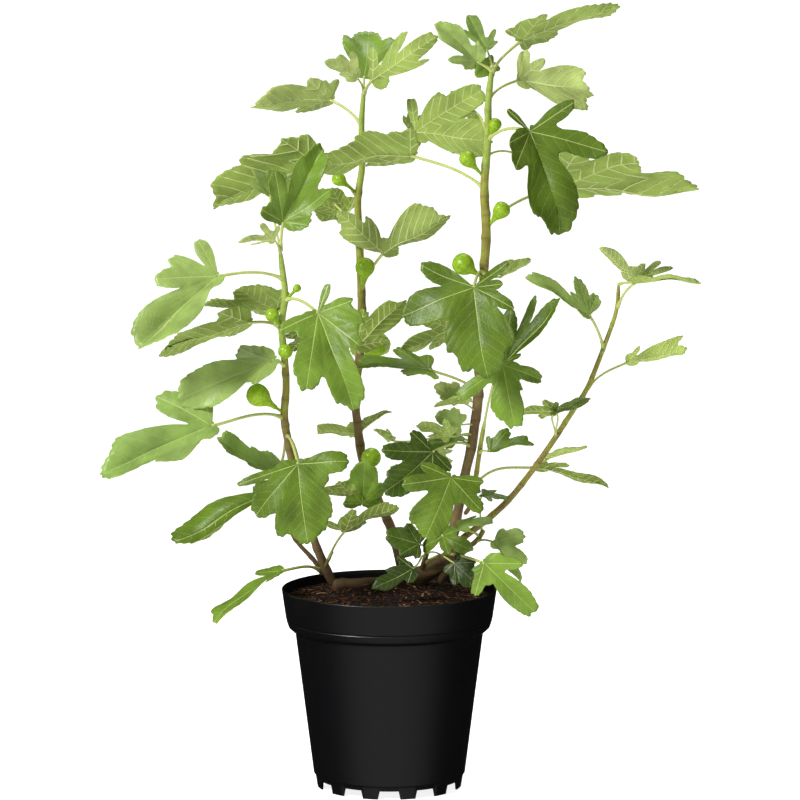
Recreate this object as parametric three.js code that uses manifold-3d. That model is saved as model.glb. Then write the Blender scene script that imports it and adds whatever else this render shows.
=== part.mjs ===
// Potted fig tree: a black nursery pot full of potting mix, the woody trunk that creeps over
// the mix, four boughs and eight masses of leaves and figs. Millimetres, +Z up, pot on z = 0,
// the pot's axis is the Z axis and the front of the plant faces -Y.
import * as THREE from "three";
import { mergeVertices } from "three/addons/utils/BufferGeometryUtils.js";
import Module from "manifold-3d";

const wasm = await Module();
wasm.setup();

// ---- driving dimensions -----------------------------------------------------------------------
const GAP = 0.3; // clear space between neighbouring pieces
const SCRAP = 20; // cubic millimetres: a loose bit left by fusing that is smaller is dropped

const POT_TOP = 206; // height of the pot's rim
const RIM_RADIUS = 110.6; // outside of the rim
const RIM_WALL = 2.6;
const COLLAR_FOOT = 174; // lower end of the straight collar under the rim
const COLLAR_RADIUS = 106; // outside of the collar at its foot
const COLLAR_WALL = 2.2;
const BODY_TOP = 163; // where the plain tapered body ends
const BODY_TOP_RADIUS = 97;
const SHOULDER_TOP = 167; // the rounded step out from the body to the collar
const SHOULDER_RADIUS = 100; // outside of the step just above the body
const BODY_FOOT = 14; // where the body meets the foot ring
const BODY_FOOT_RADIUS = 78;
const FOOT_RADIUS = 74.6; // outside of the foot ring on the ground
const POT_WALL = 2;
const FLOOR_HEIGHT = 10; // underside of the pot's floor
const PAD_RADIUS = 25; // pressed well under the floor that stands on the ground
const FOOT_COUNT = 12; // feet left between the drain notches
const NOTCH_HEIGHT = 9;
const NOTCH_ANGLE = 17; // degrees of each drain notch
const POT_SEGMENTS = 36; // every tenth degree, so the notches line up with the facets

const SOIL_TOP = 200; // level middle of the potting mix
const SOIL_EDGE = 195; // height of the mix at the wall
const SOIL_LEVEL_RADIUS = 76; // the mix is level out to here

const LEAF_THICKNESS = 0.014; // of the leaf's length
const LEAF_THINNEST = 0.8;
const SMALL_LEAF = 64; // leaves shorter than this have the simpler outline
const LARGE_LEAF = 110; // leaves longer than this have the middle ring
const MIDDLE_RING = 0.5; // where the ring between hub and outline runs
const BASE_ANGLE = 172; // the outline's ends, degrees from the midrib
const LEAF_DROOP = 12; // degrees the halves of a leaf turn down per 0.7 of its length
const WEB_START = 60; // degrees from the midrib where the blade between the lobes gets shorter
const WEB_END = 130; // and where it is shortest
const WEB_FALL = 0.8; // share of it that is gone there
const SHORT_LOBE = 0.22; // share of the leaf's length up to which a lobe adds no corner
const LONG_LOBE = 0.5; // and the share from which a lobe that is wide has shoulders
const SLIM_HALF = 12.5; // half angle in degrees from which a lobe is wide
const ANGLE_STEP = 4; // least angle in degrees between the corners of an outline
const PETIOLE_THICK = 1.9; // radius of a long leaf's stalk at the stem
const PETIOLE_THIN = 1.3;
const PETIOLE_TIP = 0.4; // radius where it enters the blade, of the blade's thickness
const PETIOLE_SIDES = 3;
const PETIOLE_STEPS = 3;
const MIDRIB_REACH = 0.14; // how far the stalk runs on inside the blade, of its length

const FIG_STALK = 1.6;
const FIG_SEAT = 0.12; // how far below a fig's middle its stalk ends inside it, of its radius
const FIG_SIDES = 6;
const FIG_SHAPE = [ // place along a fig's axis from its middle, and radius there, of its own radius
  [-1.5, 0.3], [-0.9, 0.66], [-0.3, 0.97], [0.3, 0.97], [0.75, 0.6], [0.95, 0.25],
];
const STEM_SIDES = 8;
const END_REACH = 6; // a stem's direction is taken over this much of its height each way

// Which stretch of each stem, by height, is trunk, which is bough and which is inside a mass.
const TRUNK_END = { left: 236, centre_left: 224, centre_right: 258, right: 264 };
const BOUGH_END = { left: 355, centre_left: 270, centre_right: 314, right: 319 };

// Centre line of each stem: x, y, z and thickness.
const STEMS = {
  left: [
    [-57, 15, 205, 12], [-74, 10, 243, 10.5], [-92, 0, 307, 10], [-99, -5, 337, 9.5],
    [-108, -15, 384, 8.5], [-104, -18, 415, 8], [-107, -22, 455, 7.5],
    [-110, -25, 483, 7], [-104, -28, 508, 6.5], [-109, -30, 545, 5.5],
    [-110, -30, 557, 5]],
  centre_left: [
    [16, 35, 205, 12], [4, 38, 257, 11.5], [-14, 46, 295, 11], [-28, 50, 329, 10.5],
    [-36, 58, 393, 10], [-28, 62, 465, 9.5], [-29, 64, 505, 9], [-31, 65, 558, 8.5],
    [-33, 66, 603, 7.5], [-27, 66, 636, 6.5], [-29, 66, 677, 6], [-26, 68, 713, 5]],
  centre_right: [
    [52, 25, 205, 13], [65, 22, 252, 13], [77, 15, 318, 12.5], [86, 10, 358, 12.5],
    [91, 6, 405, 11.5], [95, 2, 482, 11], [97, 0, 544, 10.5], [99, -2, 575, 10],
    [96, -4, 616, 9], [100, -5, 667, 8], [100, -6, 707, 7], [104, -6, 739, 6]],
  right: [
    [65, 30, 245, 8], [99, 34, 269, 7.5], [125, 38, 292, 7], [156, 42, 332, 6.5],
    [181, 45, 370, 6], [205, 48, 406, 5.5], [221, 50, 448, 5], [235, 50, 487, 4.5],
    [236, 50, 515, 4]],
  side: [
    [77.2, 13.5, 280, 5.5], [84, 8, 287, 5.5], [87, 7, 305, 5.5], [90.5, 5.5, 332, 5.5],
    [95, 4, 364, 5], [96.5, 4, 371, 5]],
  thin: [
    [-69, 19, 215, 6], [-74, 22, 229, 6], [-89, 26, 241, 5.5], [-99, 30, 253, 5],
    [-118, 40, 291, 4.5], [-119, 42, 300, 4]],
  inner: [
    [-66, 4, 226, 4], [-62, 0, 236, 4], [-58, -2, 245, 3.5]],
  front: [
    [34, 19.2, 221.8, 7], [38, 4, 241, 6], [46, -14, 264, 5]],
  knot: [
    [77.9, 20.4, 243, 7], [90, 6, 253, 6], [97, 0, 266, 5]],
  foot: [
    [-60, 15, 204, 17], [-38, 20, 206, 13], [-5, 28, 205, 12], [36, 28, 214, 19],
    [66, 26, 234, 16], [75, 25, 244, 13]],
};

// How each leaf sits, by mass: height where its stalk leaves the stem; x, y, z of its hub, where
// stalk and veins meet; length; slant in the front plane, lean toward the front, twist about the
// midrib; fold along the midrib, curl along it, roll about it from hub to tip; kind of outline;
// own lobes (angle from the midrib, length, half angle), where they differ from the kind's.
// Angles in degrees.
const LEAVES = {
  left_crown: [
    [553, -116, -45, 569, 38, 176, 20, 135, 28, 15, 0, "deep", []],
    [556, -107, -25, 585, 84, 62, -5, 4, 32, 0, 0, "three",
      [[43, 0.69, 14], [88, 0.37], [-31, 0.72, 10], [-72, 0.32]]],
    [527, -172, -55, 533, 112, 218, 25, 44, 30, 5, 0, "slim",
      [[24, 0.84, 11], [12, 0.9, 10], [-8, 0.94, 11], [-39, 0.58, 14], [-62, 0.47, 13], [-104, 0.4, 15]]],
    [476, -144, 10, 479, 92, 197, 10, 126, 18, 10, 0, "three",
      [[14, 0.86, 10], [45, 0.42, 12], [-30, 0.35, 14], [-90, 0.1, 12]]],
    [495, -117, 40, 487, 76, 172, 10, 120, 15, 10, 0, "broad",
      [[38, 0.8, 20], [62, 0.68, 20], [90, 0.54, 18], [-40, 0.4, 15], [-90, 0.3, 15]]],
    [506, -71, -75, 498, 103, -67, 25, -8, 12, 20, 0, "deep",
      [[30, 0.55, 14], [56, 0.46, 20], [88, 0.36, 16], [138, 0.31, 11], [-30, 0.8, 16], [-84, 0.42, 13]]],
    [437, -118, -40, 446, 103, 200, 10, 70, 15, 10, 70, "three",
      [[45, 0.32, 14], [95, 0.14, 14], [-50, 0.36, 13], [-95, 0.18, 14]]],
    [384, -179, -60, 382, 128, 199, 22, 46, 18, 8, 0, "slim",
      [[22, 0.62, 14], [8, 0.92, 9], [-12, 0.84, 10], [-58, 0.5, 20], [-102, 0.33, 15]]],
    [362, -116, 30, 325, 72, 168, 5, 72, 20, -30, 20, "three",
      [[30, 0.6, 14], [90, 0.2, 12], [-25, 0.5, 12], [-90, 0.15, 12]]],
    [365, -92, -60, 343, 80, -85, 22, 0, 5, 20, 0, "heart",
      [[27, 0.78, 13], [88, 0.64, 19], [-22, 0.92, 8], [-46, 0.84, 17], [-76, 0.8, 6]]],
    [470, -78, 66, 462, 62, -75, -58, 180, 15, 15, 0, "broad", []],
    [362, -92, 75, 316, 66, -100, -62, 170, 15, 15, 0, "three", []],
    [550, -122, 42, 606, 52, 70, -60, 0, 20, 15, 0, "broad", []],
  ],
  centre_left_crown: [
    [295, -40, -10, 305, 32, 170, 10, 130, 20, 10, 0, "heart", []],
    [560, -78, 140, 606, 64, 180, -60, -170, 15, 15, 0, "three", []],
    [440, -24, 146, 452, 56, -50, -60, 180, 15, 15, 0, "broad", []],
    [640, 22, 150, 664, 52, 20, -65, -170, 15, 15, 0, "three", []],
    [290, 16, 100, 308, 40, 180, -70, -170, 15, 15, 0, "three", []],
    [712, -33, 50, 726, 38, 150, 15, 160, 20, 10, 0, "deep",
      [[20, 0.85, 14], [50, 0.75, 12], [-28, 0.5, 10], [-98, 0.1, 10]]],
    [708, -17, 50, 724, 84, 34, 15, 168, 12, 0, 0, "slim",
      [[15, 0.72, 5], [45, 0.12, 8], [-21, 0.74, 7], [-60, 0.4, 14]]],
    [705, -26, 85, 725, 66, 81, -40, 0, 5, 10, 0, "slim",
      [[10, 0.97, 9], [26, 0.84, 13], [-8, 0.97, 8], [-22, 0.95, 9], [-60, 0.25, 10]]],
    [677, -61, 90, 701, 82, 180, 10, 132, 20, 10, 0, "three",
      [[16, 0.8, 12], [46, 0.42, 14], [98, 0.34, 13], [-38, 0.5, 14], [-90, 0.2, 14]]],
    [603, -75, 95, 633, 114, 199, -5, 130, 30, 12, 0, "broad",
      [[14, 0.9, 10], [28, 0.7, 9], [62, 0.4, 16], [88, 0.34, 18], [-36, 0.6, 16], [-84, 0.3, 14]]],
    [600, -46, 110, 582, 46, 160, 10, 150, 20, 10, 0, "heart", []],
    [505, -6, 30, 548, 82, 32, 20, -160, 25, 0, 0, "slim",
      [[-10, 0.95, 10], [-22, 0.86, 12], [-84, 0.5, 12], [-108, 0.78, 13], [-126, 0.62, 12]]],
    [440, -33, 30, 452, 68, 46, 10, -160, 20, 10, 0, "three",
      [[43, 0.5, 14], [90, 0.2, 12], [-34, 0.6, 13], [-80, 0.25, 12]]],
    [276, -28, 10, 292, 46, 85, 15, 0, 5, 10, 0, "heart", []],
    [350, -31, 75, 355, 48, 176, -20, 140, 20, 10, 0, "deep",
      [[48, 0.2, 10], [98, 0.12, 10], [-40, 0.36, 10], [-98, 0.1, 10]]],
    [352, -28, 80, 358, 35, 38, 0, -110, 20, 10, 0, "heart", []],
    [655, 27, 75, 669, 82, -5, 10, -160, 18, 8, 0, "slim",
      [[12, 0.95, 11], [24, 0.6, 10], [-14, 0.9, 9], [-40, 1.06, 13], [-60, 0.6, 12], [-102, 0.44, 13]]],
  ],
  centre_right_crown: [
    [650, 160, 85, 634, 54, -20, -60, 180, 15, 15, 0, "broad", []],
    [480, 80, 110, 470, 84, -70, -55, 180, 15, 15, 0, "three", []],
    [500, 86, 140, 494, 60, -80, -65, 180, 15, 15, 0, "broad", []],
    [665, 84, 95, 692, 56, 200, -60, 170, 15, 15, 0, "three", []],
    [350, 40, 118, 330, 56, -100, -60, 180, 15, 15, 0, "broad", []],
    [617, 22, 15, 649, 100, 181, 11, 126, 16, 8, 0, "broad",
      [[28, 0.68, 15], [82, 0.42, 11], [-36, 0.5, 15], [-90, 0.2, 12]]],
    [455, 65, 25, 470, 62, 200, 10, 140, 20, 10, 0, "three", []],
    [407, 40, -10, 433, 76, 170, 12, 70, 10, 10, 0, "three", []],
    [736, 89, -10, 746, 56, 134, 10, 10, 25, 5, 0, "deep",
      [[40, 0.6, 11], [70, 0.3, 10], [-17, 0.8, 6], [-45, 0.4, 9]]],
    [739, 106, 30, 742, 23, 212, 20, 0, 10, 10, 0, "heart", []],
    [739, 99, 25, 757, 42, 120, 15, 0, 20, 5, 0, "deep",
      [[22, 0.8, 6], [90, 0.15, 9], [-48, 0.58, 10], [-80, 0.35, 10]]],
    [735, 135, 20, 766, 104, 22, 10, -122, 12, 5, 0, "three",
      [[38, 0.34, 12], [95, 0.3, 14], [-42, 0.46, 12], [-14, 0.66, 9], [-104, 0.28, 14]]],
    [707, 132, 30, 725, 78, -5, 12, -150, 18, 8, 0, "slim",
      [[10, 0.97, 10], [24, 0.95, 12], [-16, 0.92, 11], [-45, 0.45, 14], [-80, 0.42, 17]]],
    [667, 141, -60, 679, 106, -70, 12, -22, 22, 8, 0, "three",
      [[58, 0.74, 13], [104, 0.5, 13], [15, 0.8, 9], [-17, 0.84, 9], [-46, 0.46, 12], [-78, 0.3, 14],
       [-148, 0.32, 9]]],
    [577, 170, 60, 613, 148, 0, 6, -114, 12, 5, 0, "three",
      [[24, 0.55, 12], [-15, 0.95, 10], [-36, 0.76, 15], [-70, 0.56, 19]]],
    [530, 85, -75, 524, 92, -85, 28, 4, 5, 25, 0, "slim",
      [[10, 0.93, 12], [26, 0.8, 12], [54, 0.5, 12], [90, 0.33, 16], [122, 0.47, 10], [-12, 0.93, 12],
       [-27, 0.76, 12], [-50, 0.5, 12], [-74, 0.84, 19], [-118, 0.62, 16]]],
    [520, 117, 60, 522, 33, 30, 0, -120, 20, 5, 0, "heart", []],
    [420, 119, 20, 437, 86, 48, 0, -50, 25, -5, 0, "slim",
      [[18, 0.9, 5], [38, 0.64, 12], [-12, 0.9, 9], [-48, 0.3, 11]]],
    [350, 44, -50, 354, 66, 222, 28, 0, 5, 18, 0, "broad",
      [[44, 0.62, 15], [92, 0.4, 20], [-42, 0.84, 15], [-84, 0.46, 19]]],
    [395, 70, 0, 402, 28, 145, 10, 160, 20, 10, 0, "heart", []],
    [385, 78, -6, 397, 34, 178, 10, 110, 20, 5, 0, "heart", []],
    [372, 72, -12, 377, 28, 152, 20, 20, 10, 10, 0, "heart", []],
    [362, 62, -20, 366, 38, 152, 20, 150, 15, 10, 0, "three", []],
    [360, 68, 8, 363, 34, 200, 20, 50, 15, 10, 0, "heart", []],
    [355, 0, -20, 362, 20, 133, 10, 130, 20, 30, 0, "heart", []],
  ],
  right_crown: [
    [448, 205, 34, 484, 74, 147, 8, 60, 12, 10, 0, "slim",
      [[-10, 0.95, 9], [-30, 0.4, 12], [-56, 0.62, 15], [-92, 0.46, 18]]],
    [513, 252, 34, 519, 52, 133, 10, 140, 20, 10, 0, "deep",
      [[66, 0.45, 13], [88, 0.72, 7], [104, 0.85, 6], [-40, 0.3, 10]]],
    [490, 251, 20, 518, 68, 7, 15, -97, 25, 10, 0, "deep",
      [[48, 0.1, 9], [98, 0.1, 9], [-48, 0.12, 9], [-98, 0.1, 9]]],
    [406, 248, 90, 428, 62, 11, 5, -140, 20, 5, 0, "slim", [[8, 0.9, 8], [-14, 0.98, 9], [-46, 0.38, 9]]],
    [356, 169, 0, 389, 40, 14, 0, -82, 5, -8, 0, "heart", []],
    [356, 169, 0, 389, 34, 178, 10, 140, 15, 8, 0, "three", []],
    [325, 165, 58, 331, 42, 18, 0, -100, 20, 5, 0, "heart", []],
  ],
  side_shoot: [
    [370, 115, -55, 443, 64, -81, 20, 0, 0, 15, 0, "three",
      [[62, 0.66, 15], [26, 0.5, 10], [-18, 0.8, 12], [-64, 0.92, 11], [-110, 0.12, 10]]],
    [345, 103, -20, 351, 44, 16, 10, -60, 35, 10, 0, "three",
      [[40, 0.66, 18], [90, 0.36, 14], [-25, 0.4, 10], [-70, 0.1, 8]]],
    [312, 152, 98, 316, 76, -13, 0, -130, 18, 10, 0, "slim",
      [[40, 0.15, 8], [90, 0.1, 8], [-26, 0.52, 9], [-90, 0.12, 8]]],
  ],
  low_left_shoot: [
    [298, -118, 45, 300, 118, 203, 10, 64, 22, 12, 0, "slim",
      [[12, 0.88, 9], [43, 0.36, 12], [-9, 0.95, 9], [-95, 0.1, 8]]],
    [220, -109, -20, 227, 90, 205, 10, 80, 14, 28, 0, "slim",
      [[9, 0.9, 8], [40, 0.3, 12], [-9, 0.95, 9], [-40, 0.36, 14]]],
  ],
  low_inner_shoot: [
    [236, -45, -20, 268, 62, 31, 10, -125, 20, 10, 0, "three",
      [[43, 0.4, 12], [90, 0.15], [-43, 0.5, 14], [-110, 0.4, 12]]],
  ],
  front_sucker: [
    [262, 62, -85, 333, 68, 248, 25, 0, 5, 20, 0, "broad",
      [[62, 0.7, 13], [84, 0.5, 14], [104, 0.5, 14], [-20, 0.9, 10], [-58, 0.74, 14], [-92, 0.48, 16]]],
    [250, 55, -50, 268, 38, -25, 45, 10, 5, 20, 0, "broad",
      [[42, 0.5, 18], [90, 0.3, 15], [-45, 0.55, 16], [-135, 0.95, 17]]],
    [244, 30, -40, 258, 36, 160, 20, 20, 5, 20, 0, "heart", []],
    [228, 96, -80, 245, 72, -44, 15, 0, 0, 15, 0, "deep",
      [[44, 0.54, 13], [100, 0.1, 12], [-62, 0.48, 15], [-105, 0.2, 12]]],
    [236, 24, -60, 236, 46, 206, 20, 25, 5, 10, 0, "deep",
      [[40, 0.36, 12], [95, 0.1, 10], [-26, 0.6, 12], [-70, 0.45, 14]]],
    [240, 66, -50, 240, 34, -40, 30, 0, 5, 10, 0, "heart", []],
  ],
  right_sucker: [
    [252, 107, -10, 255, 50, -50, 20, -30, 30, 10, 0, "slim",
      [[24, 0.8, 14], [66, 0.66, 23], [104, 0.35, 15], [-40, 0.1, 8], [-95, 0.05, 8]]],
    [262, 96, 20, 300, 28, -8, 10, -70, 10, 5, 0, "three", []],
    [258, 70, -20, 273, 40, 16, 20, -75, 5, 5, 0, "three", []],
  ],
};

// Figs, by mass: height where the stalk leaves the stem; x, y, z of the fruit's middle; radius.
const FIGS = {
  left_crown: [
    [389, -133, -35, 410, 11.5], [452, -105, -38, 455, 7.5], [506, -93, -34, 519, 4],
    [478, -118, -38, 492, 7]],
  centre_left_crown: [
    [606, -52, 55, 622, 7], [505, -25, 45, 532, 10], [332, -19, 35, 336, 10],
    [436, -12, 50, 447, 8], [655, -15, 62, 664, 5]],
  centre_right_crown: [
    [525, 75, -22, 542, 11], [577, 114, -10, 596, 8.5], [628, 79, -12, 648, 8],
    [664, 107, -14, 683, 6.5]],
};

// Lobes of each kind of outline: half angle of the middle lobe, then angle, length and half
// angle of the side and base lobes; web is the radius between lobes. Lengths are of the leaf's.
const KINDS = {
  deep: { centre: 15, lobes: [[48, 0.68, 11], [98, 0.42, 14]], web: 0.32 },
  three: { centre: 18, lobes: [[43, 0.58, 15], [95, 0.34, 19]], web: 0.36 },
  broad: { centre: 19, lobes: [[42, 0.76, 15], [90, 0.48, 20]], web: 0.42 },
  heart: { centre: 26, lobes: [[42, 0.68, 22], [95, 0.42, 26]], web: 0.44 },
  slim: { centre: 10, lobes: [[35, 0.7, 9], [80, 0.3, 10]], web: 0.2 },
};

// ---- small tools ------------------------------------------------------------------------------
const radians = THREE.MathUtils.degToRad;
const { Vector3 } = THREE;

// A closed solid from a list of points and a list of triangles.
function solidFrom(points, triangles) {
  const vertProperties = new Float32Array(points.flatMap((p) => [p.x, p.y, p.z]));
  const mesh = new wasm.Mesh({ numProp: 3, vertProperties, triVerts: new Uint32Array(triangles.flat()) });
  mesh.merge();
  return new wasm.Manifold(mesh);
}

// A closed solid from a three.js geometry.
function solidOf(geometry) {
  const bare = geometry.clone();
  bare.deleteAttribute("normal");
  bare.deleteAttribute("uv");
  const joined = mergeVertices(bare, 1e-4);
  const vertProperties = new Float32Array(joined.attributes.position.array);
  const triVerts = new Uint32Array(joined.index.array);
  return new wasm.Manifold(new wasm.Mesh({ numProp: 3, vertProperties, triVerts }));
}

// The union of the solids as one closed body: a sealed hollow is filled and a loose scrap dropped,
// but a second body of any size is an error in the tables above.
function fuse(solids, name) {
  const pieces = wasm.Manifold.union(solids).decompose();
  pieces.sort((a, b) => b.volume() - a.volume());
  const loose = pieces.slice(1).filter((piece) => piece.volume() > SCRAP);
  if (loose.length > 0) {
    const where = loose.map((piece) => piece.boundingBox().min.map(Math.round).join(" ")).join("; ");
    throw new Error(`${name}: loose bodies at ${where}`);
  }
  return pieces[0];
}

function toGeometry(solid) {
  const mesh = solid.getMesh();
  const geometry = new THREE.BufferGeometry();
  geometry.setAttribute("position", new THREE.BufferAttribute(mesh.vertProperties, 3));
  geometry.setIndex(new THREE.BufferAttribute(mesh.triVerts, 1));
  geometry.computeVertexNormals();
  return geometry;
}

// The direction of a line of points at each of them.
function tangentsOf(line) {
  return line.map((_, i) => {
    const before = line[Math.max(i - 1, 0)];
    const after = line[Math.min(i + 1, line.length - 1)];
    return after.clone().sub(before).normalize();
  });
}

// A closed tapered tube: one ring of `sides` points square to the line at each of its points.
function tube(line, radii, sides, tangents = tangentsOf(line)) {
  const points = [];
  const triangles = [];
  const across = new Vector3(1, 0, 0);
  if (Math.abs(tangents[0].x) > 0.9) {
    across.set(0, 1, 0);
  }
  line.forEach((p, i) => {
    across.addScaledVector(tangents[i], -across.dot(tangents[i])).normalize();
    const up = tangents[i].clone().cross(across);
    for (let k = 0; k < sides; k++) {
      const turn = (k * 2 * Math.PI) / sides;
      points.push(
        p.clone()
          .addScaledVector(across, radii[i] * Math.cos(turn))
          .addScaledVector(up, radii[i] * Math.sin(turn)),
      );
    }
  });
  for (let i = 0; i + 1 < line.length; i++) {
    for (let k = 0; k < sides; k++) {
      const a = i * sides + k;
      const b = i * sides + ((k + 1) % sides);
      triangles.push([a, b, b + sides], [a, b + sides, a + sides]);
    }
  }
  const last = (line.length - 1) * sides;
  for (let k = 1; k + 1 < sides; k++) {
    triangles.push([0, k + 1, k], [last, last + k, last + k + 1]);
  }
  return solidFrom(points, triangles);
}

// ---- stems ------------------------------------------------------------------------------------
// A point on a stem's centre line at the given height, with the thickness there.
function stemAt(stem, height) {
  const rows = STEMS[stem];
  let i = 0;
  while (i + 2 < rows.length && rows[i + 1][2] < height) {
    i++;
  }
  const [a, b] = [rows[i], rows[i + 1]];
  const t = THREE.MathUtils.clamp((height - a[2]) / (b[2] - a[2]), 0, 1);
  const mix = a.map((value, k) => value + (b[k] - value) * t);
  return { point: new Vector3(mix[0], mix[1], mix[2]), thick: mix[3] };
}

// The stretch of a stem between two heights as a tapered tube. Its ends are square to the stem as
// a whole, so that two stretches of one stem face each other flat across the gap.
function stemPart(stem, from, to) {
  const rows = STEMS[stem].map((row) => row[2]);
  const inside = rows.filter((z) => z > from + END_REACH && z < to - END_REACH);
  const heights = [from, ...inside, to];
  const stations = heights.map((height) => stemAt(stem, height));
  const tangents = heights.map((height) => {
    const [below, above] = [stemAt(stem, height - END_REACH), stemAt(stem, height + END_REACH)];
    return above.point.sub(below.point).normalize();
  });
  return tube(stations.map((s) => s.point), stations.map((s) => s.thick / 2), STEM_SIDES, tangents);
}

// ---- leaves -----------------------------------------------------------------------------------
// Length of a lobe at an angle off its own middle: longest there, gone at 1.45 of its half angle.
function lobe(offset, length, half) {
  const t = Math.min(Math.abs(offset) / (half * 1.45), 1);
  return length * Math.sqrt(1 - t ** 1.8);
}

// The middle lobe and then the leaf's own lobes, or the usual ones of its kind.
function lobesOf(leaf) {
  const [[sideAngle, sideLength, sideHalf], [baseAngle, baseLength, baseHalf]] = KINDS[leaf.kind].lobes;
  const usual = [
    [sideAngle, sideLength], [baseAngle, baseLength],
    [-sideAngle, sideLength], [-baseAngle, baseLength],
  ];
  const own = leaf.lobes.length > 0 ? leaf.lobes : usual;
  const halves = [sideHalf, baseHalf, sideHalf, baseHalf];
  const outer = own.map(([angle, length, half], i) => ({ angle, length, half: half ?? halves[i] }));
  return [{ angle: 0, length: 1, half: KINDS[leaf.kind].centre }, ...outer];
}

// Distance from the hub to the outline, of the leaf's length, at an angle from the midrib.
function outlineRadius(leaf, angle) {
  const kind = KINDS[leaf.kind];
  const fall = THREE.MathUtils.clamp((Math.abs(angle) - WEB_START) / (WEB_END - WEB_START), 0, 1);
  const reach = lobesOf(leaf).map((one) => lobe(angle - one.angle, one.length, one.half));
  return Math.max(kind.web * (1 - WEB_FALL * fall), ...reach);
}

// The angles at which the outline is drawn: the tip of each lobe that stands out, the bay between
// each two of them, and both ends beside the stalk, with the shoulders of the middle lobe and of
// a longer leaf's long wide lobes.
function outlineAngles(leaf) {
  const lobes = lobesOf(leaf).filter((one) => one.length > SHORT_LOBE);
  lobes.sort((a, b) => a.angle - b.angle);
  const angles = [-BASE_ANGLE, BASE_ANGLE];
  lobes.forEach((one, i) => {
    const wide = one.length > LONG_LOBE && one.half > SLIM_HALF;
    const full = one.angle === 0 || (leaf.long >= SMALL_LEAF && wide);
    angles.push(one.angle, ...(full ? [one.angle - one.half, one.angle + one.half] : []));
    if (i > 0) {
      const before = lobes[i - 1];
      angles.push((before.angle + before.half + one.angle - one.half) / 2);
    }
  });
  angles.sort((a, b) => a - b);
  const spaced = [];
  for (const angle of angles) {
    if (spaced.length === 0 || angle - spaced.at(-1) > ANGLE_STEP) {
      spaced.push(angle);
    }
  }
  return spaced.length % 2 === 1 ? spaced : spaced.filter((_, i) => i !== 1);
}

// Directions of a leaf: along its midrib, across it, and out of its upper face.
function leafFrame(leaf) {
  const [slant, lean, twist] = [leaf.slant, leaf.lean, leaf.twist].map(radians);
  const outward = new Vector3(Math.cos(slant), 0, Math.sin(slant));
  const front = new Vector3(0, -1, 0);
  const along = outward.clone().multiplyScalar(Math.cos(lean)).addScaledVector(front, Math.sin(lean));
  const face = outward.clone().multiplyScalar(-Math.sin(lean)).addScaledVector(front, Math.cos(lean));
  const side = face.clone().cross(along);
  const normal = face.multiplyScalar(Math.cos(twist)).addScaledVector(side, -Math.sin(twist));
  return { along, normal, across: normal.clone().cross(along) };
}

// A point of the bent leaf: x along the midrib, y across it, lift above the blade's middle face.
// The halves rise at the fold angle and turn down again, the blade rolls about its midrib, and
// the midrib curls away from the upper face.
function leafPoint(leaf, x, y, lift) {
  const { along, across, normal } = leafFrame(leaf);
  const droop = radians(LEAF_DROOP) / (0.7 * leaf.long);
  const fold = radians(leaf.fold);
  const slope = fold - droop * Math.abs(y);
  const sign = Math.sign(y);
  const out = (Math.sin(fold) - Math.sin(slope)) / droop;
  const flatY = sign * (out - (y === 0 ? 0 : lift * Math.sin(slope)));
  const flatZ = (Math.cos(slope) - Math.cos(fold)) / droop + lift * (y === 0 ? 1 : Math.cos(slope));
  const roll = (radians(leaf.roll) * x) / leaf.long;
  const rolledY = flatY * Math.cos(roll) + flatZ * Math.sin(roll);
  const rolledZ = flatZ * Math.cos(roll) - flatY * Math.sin(roll);
  const bend = radians(leaf.curl) / leaf.long;
  const curled = Math.abs(bend) > 1e-6;
  const curledX = (curled ? Math.sin(bend * x) / bend : x) + rolledZ * Math.sin(bend * x);
  const curledZ = (curled ? -(1 - Math.cos(bend * x)) / bend : 0) + rolledZ * Math.cos(bend * x);
  return leaf.hub.clone()
    .addScaledVector(along, curledX)
    .addScaledVector(across, rolledY)
    .addScaledVector(normal, curledZ);
}

function bladeThickness(leaf) {
  return Math.max(LEAF_THINNEST, LEAF_THICKNESS * leaf.long);
}

// The blade as a thin closed solid: upper and lower faces fan out from the hub to the outline,
// through a middle ring on a large leaf, and a narrow edge joins them.
function bladeSolid(leaf) {
  const thick = bladeThickness(leaf);
  const angles = outlineAngles(leaf);
  const ends = angles.map((angle) => {
    const reach = outlineRadius(leaf, angle) * leaf.long;
    return [reach * Math.cos(radians(angle)), reach * Math.sin(radians(angle))];
  });
  const ring = leaf.long < LARGE_LEAF ? [] : ends.filter((_, i) => i % 2 === 0);
  const flat = [[0, 0], ...ring.map(([x, y]) => [x * MIDDLE_RING, y * MIDDLE_RING]), ...ends];
  const count = flat.length;
  const first = 1 + ring.length;
  const upper = [];
  if (ring.length === 0) {
    for (let i = 0; i + 1 < ends.length; i++) {
      upper.push([0, first + i, first + i + 1]);
    }
  }
  for (let j = 0; j + 1 < ring.length; j++) {
    const [inner, next, outer] = [1 + j, 2 + j, first + 2 * j];
    upper.push([0, inner, next], [inner, outer, outer + 1]);
    upper.push([inner, outer + 1, next], [next, outer + 1, outer + 2]);
  }
  const rim = ring.length === 0 ? [0] : [ring.length, 0, 1];
  const edge = [...ends.map((_, i) => first + i), ...rim];
  const triangles = [...upper, ...upper.map(([a, b, c]) => [a + count, c + count, b + count])];
  edge.forEach((a, i) => {
    const b = edge[(i + 1) % edge.length];
    triangles.push([a + count, b + count, b], [a + count, b, a]);
  });
  const lifts = [thick / 2, -thick / 2];
  const faces = lifts.flatMap((lift) => flat.map(([x, y]) => leafPoint(leaf, x, y, lift)));
  return solidFrom(faces, triangles);
}

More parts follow.
